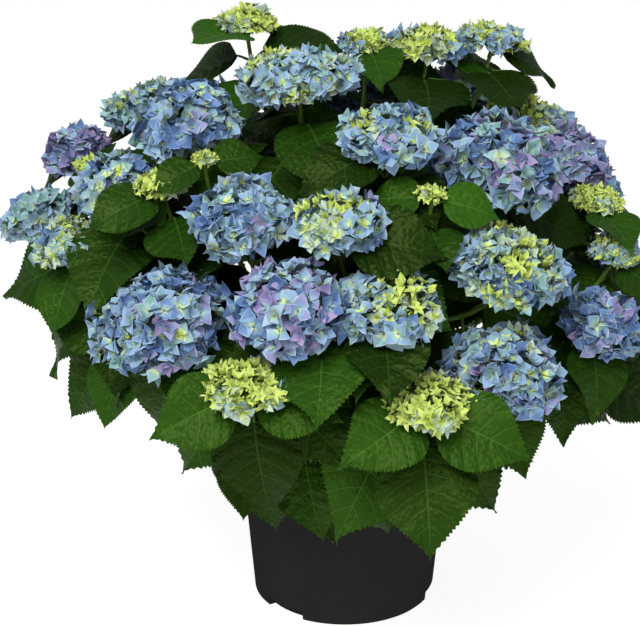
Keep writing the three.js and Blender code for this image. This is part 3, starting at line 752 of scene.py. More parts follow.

# What a floret wears: throat, inner, outer, rim and bead, and the slot that it counts to.
# The rim tint is mostly paler than the outer one, a painted highlight along the sepals' edges. In part it
# is the edge's own colour, where the edge turns bluer first.
WEARS = {
    "bud": (("green_lime", "lime", "lime", "cream", "green_lime"), "petals_lime"),
    "lime": (("green_lime", "lime", "lime", "cream", "green_lime"), "petals_lime"),
    "turning": (("lime", "cream", "pale", "mist", "green_lime"), "petals_lime"),
    "turning_sky": (("lime", "cream", "aqua", "sky", "lime"), "petals_blue"),
    "turning_blue": (("cream", "aqua", "sky", "mist", "lime"), "petals_blue"),
    "aqua": (("cream", "pale", "aqua", "mist", "sky"), "petals_blue"),
    "teal": (("pale", "aqua", "teal", "mist", "sky"), "petals_blue"),
    "sky": (("cream", "aqua", "sky", "mist", "blue"), "petals_blue"),
    "mist": (("cream", "pale", "mist", "mist", "sky"), "petals_blue"),
    "blue": (("pale", "sky", "blue", "sky", "deep_blue"), "petals_blue"),
    "deep_blue": (("aqua", "blue", "deep_blue", "blue", "deep_blue"), "petals_blue"),
    "lavender": (("pale", "sky", "lavender", "mist", "blue"), "petals_lavender"),
    "mauve": (("sky", "lavender", "mauve", "lavender", "violet"), "petals_lavender"),
    "violet": (("aqua", "lavender", "violet", "mauve", "deep_blue"), "petals_lavender"),
}
AGE_STEPS = [
    (0.16, "bud"), (0.3, "lime"), (0.42, "turning"), (0.52, "turning_sky"), (0.62, "turning_blue"),
]
VIOLET_WEARS = ["lavender", "lavender", "mauve", "violet"]
AQUA_WEARS = ["aqua", "mist", "teal", "sky"]
BLUE_WEARS = ["sky", "blue", "blue", "deep_blue", "sky"]

# An umbel's rays end in knots under lumps of its dome. The dome is full to a share of the head's half
# width, and the lumps rise and fall, slope away from their rays and warp it.
UMBEL = {
    "rays": 9, "ray_width": 8, "lowest_ray": -0.45, "knot": 0.45, "full": 0.84, "stand": 0.06,
    "crest": 1.1, "lump": 0.36, "uneven": 0.11, "warp": 0.3, "warps": 1.1, "apart": 7,
    "foot": 2, "ray_radius": 1.4, "stalk_radius": 0.6,
}
# Florets grow wider, stand further apart and reach further under the dome as they ripen, and are smaller
# and closer on a small head. Their width runs a little ahead of their colour. They face up, away from the
# middle of their ray's lump and a little at random.
FLORET = {
    "young_width": 19, "ripe_width": 36, "ahead": 0.1, "width_spread": (0.82, 1.14),
    "young_gap": 9.6, "ripe_gap": 14.5, "small_head": (0.5, 150), "close_head": (0.45, 180), "least": 20,
    "young_low": -0.2, "ripe_low": -0.65, "sunk": 0.27, "young_sunk": 0.4,
    "face_up": 1.3, "face_low": -0.2, "face_apart": 0.9, "tilt": 0.6,
    "rim_age": 0.32, "young_rim": 0.5, "age_spread": 0.26, "ray_age": 0.26,
    "star_until": 0.36, "cupped": 0.55, "buds_until": 0.34,
}
BUDS = {"count": 2, "deeper": 0.1, "aside": 0.34, "width": (0.12, 0.2), "green": 0.5}


def worn_by(age, shoot, rng):
    """The wear of a floret from its age and its head's tints."""
    for limit, wear in AGE_STEPS:
        if age < limit:
            return wear
    if rng.random() < shoot.violet:
        return rng.choice(VIOLET_WEARS)
    if rng.random() < shoot.aqua:
        return rng.choice(AQUA_WEARS)
    return rng.choice(BLUE_WEARS)


def head_share(shoot, rule):
    """How far a size comes down on a small head: a share that grows with the head's width, up to one."""
    share, width = FLORET[rule]
    return min(1.0, share + shoot.width / width)


def dome_ways(count, lowest, turn):
    """Directions spread by the golden angle over a ball, from its top down to a height."""
    for i in range(count):
        height = 1 - (2 * i + 1) / count
        if height < lowest:
            return
        angle = i * math.pi * (3 - math.sqrt(5)) + turn
        ring = math.sqrt(1 - height * height)
        yield Vector((ring * math.cos(angle), ring * math.sin(angle), height))


class Umbel:
    """One flower head: rays from its foot, each with a tuft of florets that makes a lump of the dome."""

    def __init__(self, shoot):
        self.shoot, self.half = shoot, shoot.width / 2
        self.rng = random.Random(SEED + shoot.index)
        count = round(UMBEL["rays"] + shoot.width / UMBEL["ray_width"])
        self.rays = [(way, self.rng.uniform(-1, 1), self.rng.uniform(-1, 1))
                     for way in dome_ways(count, UMBEL["lowest_ray"], shoot.index)]
        self.spacing = math.sqrt(4 * math.pi / count)

    def spot(self, way, lift):
        """The place of a direction on the dome, in the head's own frame."""
        upright = 2 * (self.shoot.rise - UMBEL["stand"] if way.z > 0 else self.shoot.under)
        own_place = Vector((UMBEL["apart"] * self.shoot.index, 0, 0))
        lift *= 1 + UMBEL["warp"] * noise.noise(way * UMBEL["warps"] + own_place)
        return Vector((way.x, way.y, way.z * upright)) * self.half * lift

    def florets(self):
        """Each floret's place, the way that it faces, its age and its ray."""
        ripeness = self.shoot.ripeness
        gap = between(FLORET["young_gap"], FLORET["ripe_gap"], ripeness)
        gap *= head_share(self.shoot, "close_head")
        count = max(FLORET["least"], round(4 * math.pi * (self.half * UMBEL["full"]) ** 2 / gap ** 2))
        lowest = between(FLORET["young_low"], FLORET["ripe_low"], ripeness)
        for way in dome_ways(count, lowest, 2 * self.shoot.index):
            index = max(range(len(self.rays)), key=lambda i: self.rays[i][0].dot(way))
            ray, ray_lift, ray_age = self.rays[index]
            slope = UMBEL["lump"] * ((way - ray).length / self.spacing) ** 2
            lift = UMBEL["full"] * (UMBEL["crest"] + UMBEL["uneven"] * ray_lift - slope)
            lift -= FLORET["sunk"] * self.rng.random() ** 2 * between(FLORET["young_sunk"], 1, ripeness)
            faces = Vector((way.x, way.y, max(way.z, FLORET["face_low"]) * FLORET["face_up"]))
            faces += (way - ray) * FLORET["face_apart"]
            faces += Vector([self.rng.uniform(-1, 1) for _ in range(3)]) * FLORET["tilt"]
            rim_age = FLORET["rim_age"] * min(1.0, FLORET["young_rim"] + ripeness)
            age = ripeness + rim_age * (0.5 - max(way.z, 0)) + FLORET["ray_age"] * ray_age
            age += FLORET["age_spread"] * (self.rng.random() - 0.5)
            yield self.spot(way, lift), faces.normalized(), age, index

    def build(self, blossom, stalks, forms, bead, stalk):
        """Adds the head's florets, green buds and stalks."""
        shoot, rng = self.shoot, self.rng
        foot = shoot.base + shoot.axis * UMBEL["foot"]
        knots = [shoot.middle + shoot.facing @ self.spot(way, UMBEL["knot"]) for way, _, _ in self.rays]
        for knot in knots:
            stalks.add(stalk, along(foot, knot, UMBEL["ray_radius"]), "green_stem")
        for spot, faces, age, index in self.florets():
            grown = max(0.0, min(1.0, age + FLORET["ahead"]))
            width = between(FLORET["young_width"], FLORET["ripe_width"], grown)
            width *= rng.uniform(*FLORET["width_spread"]) * head_share(shoot, "small_head")
            kind = "star"
            if age >= FLORET["star_until"]:
                kind = "cupped" if rng.random() < FLORET["cupped"] else "open"
            point = shoot.middle + shoot.facing @ spot
            turn = UP.rotation_difference(shoot.facing @ faces).to_matrix()
            turn = turn @ Matrix.Rotation(rng.random() * math.tau, 3, "Z")
            tints, slot = WEARS[worn_by(age, shoot, rng)]
            matrix = placed(point, *(turn.col[i] * width for i in range(3)))
            blossom[slot].add(rng.choice(forms[kind]), matrix, *["sepal_" + tint for tint in tints])
            stalks.add(stalk, along(knots[index], point, UMBEL["stalk_radius"]), "green_stem")
            if age < FLORET["buds_until"]:
                self.add_buds(point, width, blossom["petals_lime"], bead)

    def add_buds(self, point, width, lime, bead):
        """Adds unopened buds beside a young floret, a little deeper in the head."""
        for _ in range(BUDS["count"]):
            beside = point.lerp(self.shoot.base, BUDS["deeper"])
            beside += Vector([self.rng.uniform(-1, 1) for _ in range(3)]) * width * BUDS["aside"]
            size = width * self.rng.uniform(*BUDS["width"])
            finish = "sepal_green_lime" if self.rng.random() < BUDS["green"] else "sepal_lime"
            lime.add(bead, placed(beside, (size, 0, 0), (0, size, 0), (0, 0, size)), finish)


# Finishes.
class Finish(NamedTuple):
    """Patches of two shares of one colour under a grain that stands out by a relief, in millimetres.

    A puckered finish has raised cells as its grain, with furrows between them. Others have a rough grain.
    """

    shares: tuple
    patch: float
    grain: float
    relief: float
    roughness: tuple
    surface: dict
    stretch: tuple = (1, 1, 1)
    puckered: bool = False


LEAF_TINTS = {"dark": 0.5, "mid": 0.9, "bright": 1.4, "young": 2.0}
VEIN_CONTRAST = 0.7
SAP_SHEEN = linear("#a9c46a")
FINISHES = {
    # A sepal is thin, matt and faintly veined. The soft bloom of light at its edges is a painted highlight,
    # in the paler tints of its rim zone.
    "sepal": Finish((0.86, 1.1), patch=9, grain=2, relief=0.1, roughness=(0.5, 0.62), surface={
        "IOR": 1.4, "Specular IOR Level": 0.25}),
    # A blade has a waxy skin, puckered between its veins: half gloss, and duller in the furrows.
    "leaf": Finish((0.74, 1.25), patch=16, grain=5, relief=1.6, roughness=(0.36, 0.54), surface={
        "IOR": 1.45, "Specular IOR Level": 0.32, "Specular Tint": SAP_SHEEN}, puckered=True),
    # Veins are the same waxy skin over paler, woodier tissue.
    "vein": Finish((1, 1.15), patch=12, grain=1.5, relief=0.1, roughness=(0.42, 0.55), surface={
        "Specular IOR Level": 0.3, "Specular Tint": SAP_SHEEN}),
    # The lower side of a blade has no wax: paler, matt and faintly grained.
    "underside": Finish((1, 1.12), patch=14, grain=1.6, relief=0.25, roughness=(0.6, 0.72), surface={
        "Specular IOR Level": 0.1}),
    # Young twigs and stalks are smooth and sappy, with darker lengths and a soft highlight.
    "green_stem": Finish((1, 0.75), patch=16, grain=1.2, relief=0.1, roughness=(0.45, 0.6), surface={
        "Specular IOR Level": 0.25}),
    # Old wood is dry and ridged along its length, and darker in patches.
    "woody_bark": Finish((1, 0.5), patch=5, grain=1.1, relief=0.8, roughness=(0.75, 0.95), surface={},
                         stretch=(1, 1, 0.3)),
    # Peat mix is dark and crumbly, mottled by what is wet and what is dry, with no gloss at all.
    "moist_peat": Finish((1, 0.45), patch=4, grain=1.2, relief=0.9, roughness=(0.85, 1.0), surface={}),
    # Black plastic comes off its mould even and dull, with a fine grain that is drawn coarser here to show.
    "moulded_plastic": Finish((1, 1.25), patch=60, grain=1.3, relief=0.03, roughness=(0.5, 0.56), surface={
        "IOR": 1.4, "Specular IOR Level": 0}),
    # The floor is lit from within, so that it runs into the white all round.
    "studio_floor": Finish((1, 1), patch=400, grain=40, relief=0.01, roughness=(0.8, 0.85), surface={
        "Emission Color": (1, 1, 1, 1)}),
}

# The mix node's sockets for colours. By name they are the same as those for numbers and vectors.
MIX_COLOURS, MIX_RESULT = (6, 7), 2


def add_node(tree, kind, inputs=None, **settings):
    """Adds a node with its settings. An input is a value, or another node's socket to link from."""
    node = tree.nodes.new(kind)
    for name, value in settings.items():
        setattr(node, name, value)
    for name, value in (inputs or {}).items():
        if isinstance(value, bpy.types.NodeSocket):
            tree.links.new(value, node.inputs[name])
        else:
            node.inputs[name].default_value = value
    return node


def patterned(name, colour, finish, **surface):
    """The material of a finish in a colour. More of the surface's inputs may be given."""
    material = bpy.data.materials.new(name)
    material.use_nodes = True
    tree = material.node_tree
    tree.nodes.clear()
    place = add_node(tree, "ShaderNodeTexCoord")
    drawn = add_node(tree, "ShaderNodeMapping", {
        "Vector": place.outputs["Object"], "Scale": finish.stretch})
    patches = add_node(tree, "ShaderNodeTexNoise", {
        "Vector": drawn.outputs["Vector"], "Scale": 1 / (finish.patch * MM), "Detail": 3.0})
    mixed = add_node(tree, "ShaderNodeMix", {"Factor": patches.outputs["Fac"]}, data_type="RGBA")
    for socket, share in zip(MIX_COLOURS, finish.shares):
        mixed.inputs[socket].default_value = shaded(colour, share)
    fineness = {"Vector": drawn.outputs["Vector"], "Scale": 1 / (finish.grain * MM)}
    if finish.puckered:
        height = add_node(tree, "ShaderNodeTexVoronoi", fineness, feature="SMOOTH_F1").outputs["Distance"]
    else:
        height = add_node(tree, "ShaderNodeTexNoise", {**fineness, "Detail": 4.0}).outputs["Fac"]
    bump = add_node(tree, "ShaderNodeBump", {
        "Height": height, "Distance": finish.relief * MM, "Strength": 1.0}, invert=finish.puckered)
    low, high = finish.roughness
    rough = add_node(tree, "ShaderNodeMapRange", {"Value": height, "To Min": low, "To Max": high})
    shader = add_node(tree, "ShaderNodeBsdfPrincipled", {
        "Base Color": mixed.outputs[MIX_RESULT], "Roughness": rough.outputs["Result"],
        "Normal": bump.outputs["Normal"], **finish.surface, **surface})
    add_node(tree, "ShaderNodeOutputMaterial", {"Surface": shader.outputs["BSDF"]})
    return material


def shaded(colour, share):
    """A colour with its red, green and blue scaled."""
    return tuple(min(1.0, c * share) for c in colour[:3]) + (1.0,)


def make_finish(name):
    """Makes the material of that name. For sepals, leaves and veins the name ends with a tint."""
    colours = bpy.context.scene.hydrangea_colours
    kind, _, tint = name.partition("_")
    if kind == "sepal":
        return patterned(name, linear(TINTS[tint]), FINISHES[kind])
    if kind == "leaf":
        return patterned(name, shaded(colours.leaf, LEAF_TINTS[tint]), FINISHES[kind])
    if kind == "vein":
        return patterned(name, shaded(colours.vein, LEAF_TINTS[tint] ** VEIN_CONTRAST), FINISHES[kind])
    surface = {}
    if name == "studio_floor":
        surface["Emission Strength"] = bpy.context.scene.hydrangea_stage.floor
    return patterned(name, getattr(colours, name), FINISHES[name], **surface)


def finish_named(name):
    """The material of that name, made when it is first asked for."""
    return bpy.data.materials.get(name) or make_finish(name)


# Meshes.
def piece_from(name, bm, finish):
    """A new piece from a bmesh in millimetres."""
    bmesh.ops.scale(bm, verts=bm.verts, vec=(MM, MM, MM))
    mesh = bpy.data.meshes.new(name)
    bm.to_mesh(mesh)
    bm.free()
    mesh.materials.append(finish_named(finish))
    mesh.shade_smooth()
    piece = bpy.data.objects.new(name, mesh)
    bpy.context.scene.collection.objects.link(piece)
    return piece


def carry(piece, slot, *nodes):
    """The piece rides on the plant's one body and stands for its nodes. The slot is not used."""
    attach(piece, "root")
    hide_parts(*nodes)


def lathe(profile, sides):
    """A closed turned body from a profile of (radius, height) that starts and ends on the axis."""
    bm = bmesh.new()
    verts = [bm.verts.new((radius, 0, height)) for radius, height in profile]
    edges = [bm.edges.new(pair) for pair in zip(verts, verts[1:])]
    bmesh.ops.spin(bm, geom=verts + edges, cent=(0, 0, 0), axis=(0, 0, 1), angle=math.tau, steps=sides,
                   use_merge=True)
    bmesh.ops.remove_doubles(bm, verts=bm.verts, dist=1e-4)
    bmesh.ops.recalc_face_normals(bm, faces=bm.faces)
    return bm


def applied(piece):
    """The piece with its modifiers made part of its mesh."""
    graph = bpy.context.evaluated_depsgraph_get()
    piece.data = bpy.data.meshes.new_from_object(piece.evaluated_get(graph))
    piece.modifiers.clear()
    return piece


def limbs_mesh(name, limbs, resolution):
    """Round limbs as one bmesh. Each limb is a list of (point, radius), and its ends are closed."""
    curve = bpy.data.curves.new(name, "CURVE")
    curve.dimensions = "3D"
    curve.bevel_depth = 1
    curve.bevel_resolution = resolution
    curve.use_fill_caps = True
    for limb in limbs:
        spline = curve.splines.new("POLY")
        spline.points.add(len(limb) - 1)
        for spot, (point, radius) in zip(spline.points, limb):
            spot.co = (*(point * MM), 1)
            spot.radius = radius * MM
    guide = bpy.data.objects.new(name + "_guide", curve)
    bpy.context.scene.collection.objects.link(guide)
    graph = bpy.context.evaluated_depsgraph_get()
    mesh = bpy.data.meshes.new_from_object(guide.evaluated_get(graph))
    bpy.data.objects.remove(guide)
    bm = bmesh.new()
    bm.from_mesh(mesh)
    bmesh.ops.remove_doubles(bm, verts=bm.verts, dist=1e-6)
    bmesh.ops.scale(bm, verts=bm.verts, vec=(1 / MM, 1 / MM, 1 / MM))
    return bm


# Sizes and colours that a user would change.
POT_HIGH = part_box("pot")[1]


def length_setting(name, description, default):
    """A length in metres."""
    return FloatProperty(name=name, description=description, unit="LENGTH", default=default)


def colour_setting(name, description, hex_colour):
    """A colour, given as an sRGB hex value."""
    return FloatVectorProperty(name=name, description=description, subtype="COLOR", size=4,
                               default=linear(hex_colour))


class HydrangeaPot(bpy.types.PropertyGroup):
    """Sizes of the pot and its soil."""

    height: length_setting("Height", "Height of the pot", POT_HIGH.z)
    lip_radius: length_setting("Lip radius", "Radius over the turned-down lip", POT_HIGH.x)
    foot_radius: length_setting("Foot radius", "Radius at the foot", 0.123)
    shoulder_radius: length_setting("Shoulder radius", "Radius of the wall at the lip", 0.141)
    wall: length_setting("Wall", "Thickness of the plastic", 0.0026)
    soil_below: length_setting("Soil below rim", "Depth of the soil's edge under the rim", 0.02)


class HydrangeaPlant(bpy.types.PropertyGroup):
    """Sizes of the plant's parts."""

    leaf_length: length_setting("Leaf length", "Length of a full blade", 0.116)
    twig_foot: length_setting("Twig foot radius", "Radius of a twig at its fork", 0.0034)
    twig_tip: length_setting("Twig tip radius", "Radius of a twig at its head", 0.0024)
    petiole: length_setting("Leaf stalk radius", "Radius of a leaf's stalk", 0.0016)
    crumbs: IntProperty(name="Soil crumbs", description="Number of loose lumps on the soil",
                        default=420, min=0)


class HydrangeaColours(bpy.types.PropertyGroup):
    """Plain colours of the finishes."""

    leaf: colour_setting("Leaf", "Upper side of a blade", "#1a3508")
    vein: colour_setting("Vein", "Midrib and side veins", "#2c4c19")
    underside: colour_setting("Underside", "Lower side of a blade", "#3d5a2a")
    green_stem: colour_setting("Green stem", "Green twigs and stalks", "#4d6b22")
    woody_bark: colour_setting("Woody bark", "Canes and root crown", "#7a6547")
    moist_peat: colour_setting("Moist peat", "Potting soil and its crumbs", "#33251c")
    moulded_plastic: colour_setting("Moulded plastic", "Pot", "#252525")
    studio_floor: colour_setting("Studio floor", "Floor of the studio", "#9a9a9a")


class HydrangeaStage(bpy.types.PropertyGroup):
    """Lights of the studio."""

    key: FloatProperty(name="Key light", description="Power of the large light above the front",
                       unit="POWER", default=104)
    fill: FloatProperty(name="Fill light", description="Power of the light beside the viewer",
                        unit="POWER", default=12)
    floor: FloatProperty(name="Floor light", description="Strength of the floor's own light", default=0.88)
    sky: FloatProperty(name="Surrounding light", description="Strength of the even light all round",
                       default=0.3)


# Operators, one for each piece or group of like pieces.
class PlantOperator:
    """What the operators share."""

    bl_options = {"REGISTER", "UNDO"}


POT = {
    "floor": 4, "foot_round": 3, "lip_drop": 21, "lip_top": 3, "sides": 120,
    "recess_middles": [-42, 78, 198], "recess_width": 30, "recess_height": 14, "recess_depth": 12,
    "recess_from": -10, "slot_width": 9.3, "slot_height": 6, "slot_sill": 6,
    "edge_round": 0.8, "rounded_over": 38, "sharp_over": 40,
}


def ring_blocks(width, inner, outer, low, high):
    """Blocks bent round the pot's axis, one at each drain recess. The width is an angle in degrees."""
    bm = bmesh.new()
    apart, bends = 10, 7
    for i in range(len(POT["recess_middles"])):
        bmesh.ops.create_cube(bm, size=1, matrix=Matrix.Translation((apart * i, 0, 0)))
    lengthwise = [e for e in bm.edges if abs(e.verts[0].co.x - e.verts[1].co.x) > 0.5]
    bmesh.ops.subdivide_edges(bm, edges=lengthwise, cuts=bends, use_grid_fill=True)
    for v in bm.verts:
        i = round(v.co.x / apart)
        angle = math.radians(POT["recess_middles"][i] + (v.co.x - apart * i) * width)
        radius = outer if v.co.y > 0 else inner
        v.co = Vector((radius * math.sin(angle), -radius * math.cos(angle), high if v.co.z > 0 else low))
    bmesh.ops.recalc_face_normals(bm, faces=bm.faces)
    return bm


class MakePot(PlantOperator, bpy.types.Operator):
    """Makes the moulded pot with its turned-down lip and drain recesses"""

    bl_idname = "hydrangea.pot"
    bl_label = "Pot"

    def execute(self, context):
        sizes = context.scene.hydrangea_pot
        height, lip, foot, shoulder, wall = (round(value / MM, 2) for value in (
            sizes.height, sizes.lip_radius, sizes.foot_radius, sizes.shoulder_radius, sizes.wall))
        under_lip = height - POT["lip_top"]
        slope = (shoulder - foot) / height
        low_in = foot + slope * POT["floor"] - wall
        lip_foot = height - POT["lip_drop"]
        outer = [
            (0, 0), (foot - POT["foot_round"], 0), (foot, POT["foot_round"]), (shoulder, under_lip),
            (lip - wall, under_lip), (lip - wall, lip_foot), (lip, lip_foot), (lip, under_lip),
            (lip - POT["lip_top"], height),
        ]
        inner = [
            (shoulder - wall, height), (low_in, POT["floor"] + POT["foot_round"]),
            (low_in - POT["foot_round"], POT["floor"]), (0, POT["floor"]),
        ]
        pot = piece_from("pot_moulding", lathe(outer + inner, POT["sides"]), "moulded_plastic")
        back = foot - POT["recess_depth"]
        width, top = POT["recess_width"], POT["recess_height"]
        walled = width + 2 * math.degrees(wall / foot)
        sill = POT["slot_sill"]
        self.cut(pot, "UNION", ring_blocks(walled, back - wall, foot - wall / 2, wall / 2, top + wall))
        self.cut(pot, "DIFFERENCE", ring_blocks(width, back, lip, POT["recess_from"], top))
        self.cut(pot, "DIFFERENCE", ring_blocks(
            POT["slot_width"], back - 3 * wall, foot, sill, sill + POT["slot_height"]))
        bevel = pot.modifiers.new("edge_rounding", "BEVEL")
        bevel.width, bevel.segments = POT["edge_round"] * MM, 2
        bevel.limit_method, bevel.angle_limit = "ANGLE", math.radians(POT["rounded_over"])
        applied(pot)
        pot.data.set_sharp_from_angle(angle=math.radians(POT["sharp_over"]))
        carry(pot, "pot_plastic", "pot")
        return {"FINISHED"}

    @staticmethod
    def cut(pot, operation, bm):
        """Joins blocks to the pot or cuts them out of it."""
        cutter = piece_from("pot_cutter", bm, "moulded_plastic")
        modifier = pot.modifiers.new("recess", "BOOLEAN")
        modifier.operation, modifier.object, modifier.solver = operation, cutter, "EXACT"
        applied(pot)
        bpy.data.objects.remove(cutter)


class MakeSoil(PlantOperator, bpy.types.Operator):
    """Makes the potting soil with its rough, crumbly top"""

    bl_idname = "hydrangea.soil"
    bl_label = "Soil"

    CROWN, GAP, RINGS, SIDES = 5, 0.6, 26, 96
    # How rough the top is, how coarse its lumps are, their fractal's numbers and the rim that stays even.
    ROUGH, LUMPS, FRACTAL, EVEN_RIM = 2.2, 0.05, (0.9, 2.1, 5), 8
    CRUMB_FORMS, CRUMB_SIZES, FROM_RIM, FROM_CROWN = 4, (1.5, 6.5), 6, 8

    def surface(self, sizes, radius):
        """The soil's height at a radius, before its roughness."""
        edge = (sizes.height - sizes.soil_below) / MM
        return edge + self.CROWN * (1 - (radius / (sizes.shoulder_radius / MM)) ** 2)

    def execute(self, context):
        sizes = context.scene.hydrangea_pot
        slope = (sizes.shoulder_radius - sizes.foot_radius) / sizes.height
        foot, wall = sizes.foot_radius / MM, sizes.wall / MM
        floor = POT["floor"] + self.GAP
        step = POT["recess_height"] + wall + self.GAP
        back = foot - POT["recess_depth"] - wall - self.GAP
        top = self.surface(sizes, sizes.shoulder_radius / MM)
        rim = foot + slope * top - wall - self.GAP
        radii = [rim * (1 - i / self.RINGS) for i in range(self.RINGS + 1)]
        rings = [(radius, self.surface(sizes, radius)) for radius in radii]
        under = [(0, floor), (back, floor), (back, step), (foot + slope * step - wall - self.GAP, step)]
        bm = lathe(under + rings, self.SIDES)
        for v in bm.verts:
            radius = math.hypot(v.co.x, v.co.y)
            if v.co.z > top - 1 and radius < rim - 1:
                rough = noise.fractal(v.co * self.LUMPS, *self.FRACTAL)
                v.co.z += self.ROUGH * rough * min(1, (rim - radius) / self.EVEN_RIM)
        carry(piece_from("soil_bed", bm, "moist_peat"), "potting_soil", "potting_soil")
        self.crumbs(context.scene.hydrangea_plant.crumbs, sizes, rim)
        return {"FINISHED"}

    def crumbs(self, count, sizes, rim):
        """Scatters loose lumps over the soil, clear of the root crown."""
        rng = random.Random(SEED)
        lumps = [crumb_prototype(seed) for seed in range(self.CRUMB_FORMS)]
        loose = Copies("soil_crumbs")
        for _ in range(count):
            radius, angle = (rim - self.FROM_RIM) * math.sqrt(rng.random()), rng.random() * math.tau
            if radius < KNUCKLE_RADIUS + self.FROM_CROWN:
                continue
            size = rng.uniform(*self.CRUMB_SIZES)
            right, back = radius * math.cos(angle), radius * math.sin(angle)
            spot = Vector((right, back, self.surface(sizes, radius)))
            turn = Matrix.Rotation(rng.random() * math.tau, 3, "Z") * size
            loose.add(rng.choice(lumps), placed(spot, *turn.transposed()), "moist_peat")
        carry(loose.build(), "potting_soil", "potting_soil")


class MakeRootCrown(PlantOperator, bpy.types.Operator):
    """Makes the woody knuckle that the canes rise from"""

    bl_idname = "hydrangea.root_crown"
    bl_label = "Root crown"

    NECK, FLARE, FLARE_HEIGHT, FLARE_EDGE, SUNK = 25, 36, 14, 4, 3
    # Where the flare bends into the neck: how far out from the neck, and its share of the flare's height.
    BEND_OUT, BEND_UP = 3, 0.6
    KNUCKLE_FROM, SIDES, RELIEF = -30, 48, 1.8

    def execute(self, context):
        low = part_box("root_crown")[0].z / MM
        profile = [
            (0, low - self.SUNK), (self.FLARE, low - self.SUNK),
            (self.FLARE - self.FLARE_EDGE, low + self.FLARE_EDGE),
            (self.NECK + self.BEND_OUT, low + self.FLARE_HEIGHT * self.BEND_UP),
            (self.NECK, low + self.FLARE_HEIGHT),
        ]
        for angle in map(math.radians, range(self.KNUCKLE_FROM, 90, 10)):
            radius, height = KNUCKLE_RADIUS * math.cos(angle), KNUCKLE_RADIUS * math.sin(angle)
            profile.append((radius, KNUCKLE.z + height))
        profile.append((0, KNUCKLE.z + KNUCKLE_RADIUS))
        bm = lathe(profile, self.SIDES)
        roughen(bm, UP, self.RELIEF)
        carry(piece_from("root_crown_wood", bm, "woody_bark"), "bark", "root_crown")
        return {"FINISHED"}


BARK = {"fineness": 0.32, "drawn_out": 0.22, "fractal": (0.8, 2.0, 4), "inwards": 0.15}


def roughen(bm, grain, relief):
    """Gives a limb the ridges of bark, drawn out along the grain."""
    bm.normal_update()
    turn = grain.rotation_difference(UP).to_matrix()
    for v in bm.verts:
        spot = turn @ v.co
        spot.z *= BARK["drawn_out"]
        ridge = noise.fractal(spot * BARK["fineness"], *BARK["fractal"])
        v.co += v.normal * relief * (ridge - BARK["inwards"])


class MakeCanes(PlantOperator, bpy.types.Operator):
    """Makes the woody canes with their bark and the rings of old leaf scars"""

    bl_idname = "hydrangea.canes"
    bl_label = "Canes"

    STEPS, WAIST, RELIEF = 48, 0.92, 0.5
    SCAR_GAP, SCAR_REACH, SCAR_RISE = 34, 4, 0.16

    def execute(self, context):
        for cane in grown_canes():
            limb = []
            for i in range(self.STEPS + 1):
                share = i / self.STEPS
                to_scar = abs((share * cane.line.length) % self.SCAR_GAP - self.SCAR_GAP / 2)
                scar = self.SCAR_RISE * max(0, 1 - to_scar / self.SCAR_REACH)
                radius = between(cane.base_radius, cane.tip_radius, share) * (self.WAIST + scar)
                limb.append((cane.line.at(share)[0], radius))
            name = cane.name + "_bark"
            bm = limbs_mesh(name, [limb], 6)
            roughen(bm, (cane.line.points[-1] - cane.line.points[0]).normalized(), self.RELIEF)
            carry(piece_from(name, bm, "woody_bark"), "bark", cane.name)
        return {"FINISHED"}


class MakeTwigs(PlantOperator, bpy.types.Operator):
    """Makes the green twigs, swollen where leaves stand, and the leaves' stalks"""

    bl_idname = "hydrangea.twigs"
    bl_label = "Twigs"

    NODE_SWELL, NODE_REACH = 0.35, 5
    # A leaf's stalk: its straight foot, how it comes up to the blade, how far it runs on under it, how
    # thick it is at its foot and how much of that it loses.
    STEPS, STRAIGHT, UP_TO_BLADE, UNDER_BLADE, THICK_FOOT, TAPER = 5, 0.7, 0.1, 0.04, 1.35, 0.6

    def execute(self, context):
        sizes = context.scene.hydrangea_plant
        foot, tip = sizes.twig_foot / MM, sizes.twig_tip / MM
        limbs = []
        for shoot in all_shoots():
            nodes = sorted({leaf.share for leaf in grown_leaves() if leaf.shoot is shoot})
            end = 1 - shoot.under * shoot.width / shoot.line.length
            reach = self.NODE_REACH / shoot.line.length
            swollen = {node + k * reach for node in nodes for k in (-1, 0, 1) if node + reach < end}
            shares = sorted({i * end / TWIG["steps"] for i in range(TWIG["steps"] + 1)} | swollen)
            limb = []
            for share in shares:
                swell = max([0.0] + [1 - abs(share - node) / reach for node in nodes])
                radius = between(foot, tip, share) * (1 + self.NODE_SWELL * swell)
                limb.append((shoot.line.at(share)[0], radius))
            limbs.append(limb)
        stalks = [self.stalk(leaf, sizes.petiole / MM) for leaf in grown_leaves()]
        for name, group, resolution in (("twigs", limbs, 2), ("leaf_stalks", stalks, 1)):
            piece = piece_from(name, limbs_mesh(name, group, resolution), "green_stem")
            carry(piece, "foliage", *MASS_NODES)
        return {"FINISHED"}

    def stalk(self, leaf, radius):
        """A stalk that leaves the twig one way and bends into the blade's midrib."""
        run = LEAF["petiole"] * leaf.grown
        line = Line([
            leaf.root, leaf.root + leaf.stalk * run * self.STRAIGHT,
            leaf.neck - leaf.blade * run * self.UP_TO_BLADE,
            leaf.neck + leaf.blade * leaf.length * self.UNDER_BLADE], self.STEPS)
        return [(point, radius * (self.THICK_FOOT - self.TAPER * i / self.STEPS))
                for i, point in enumerate(line.points)]


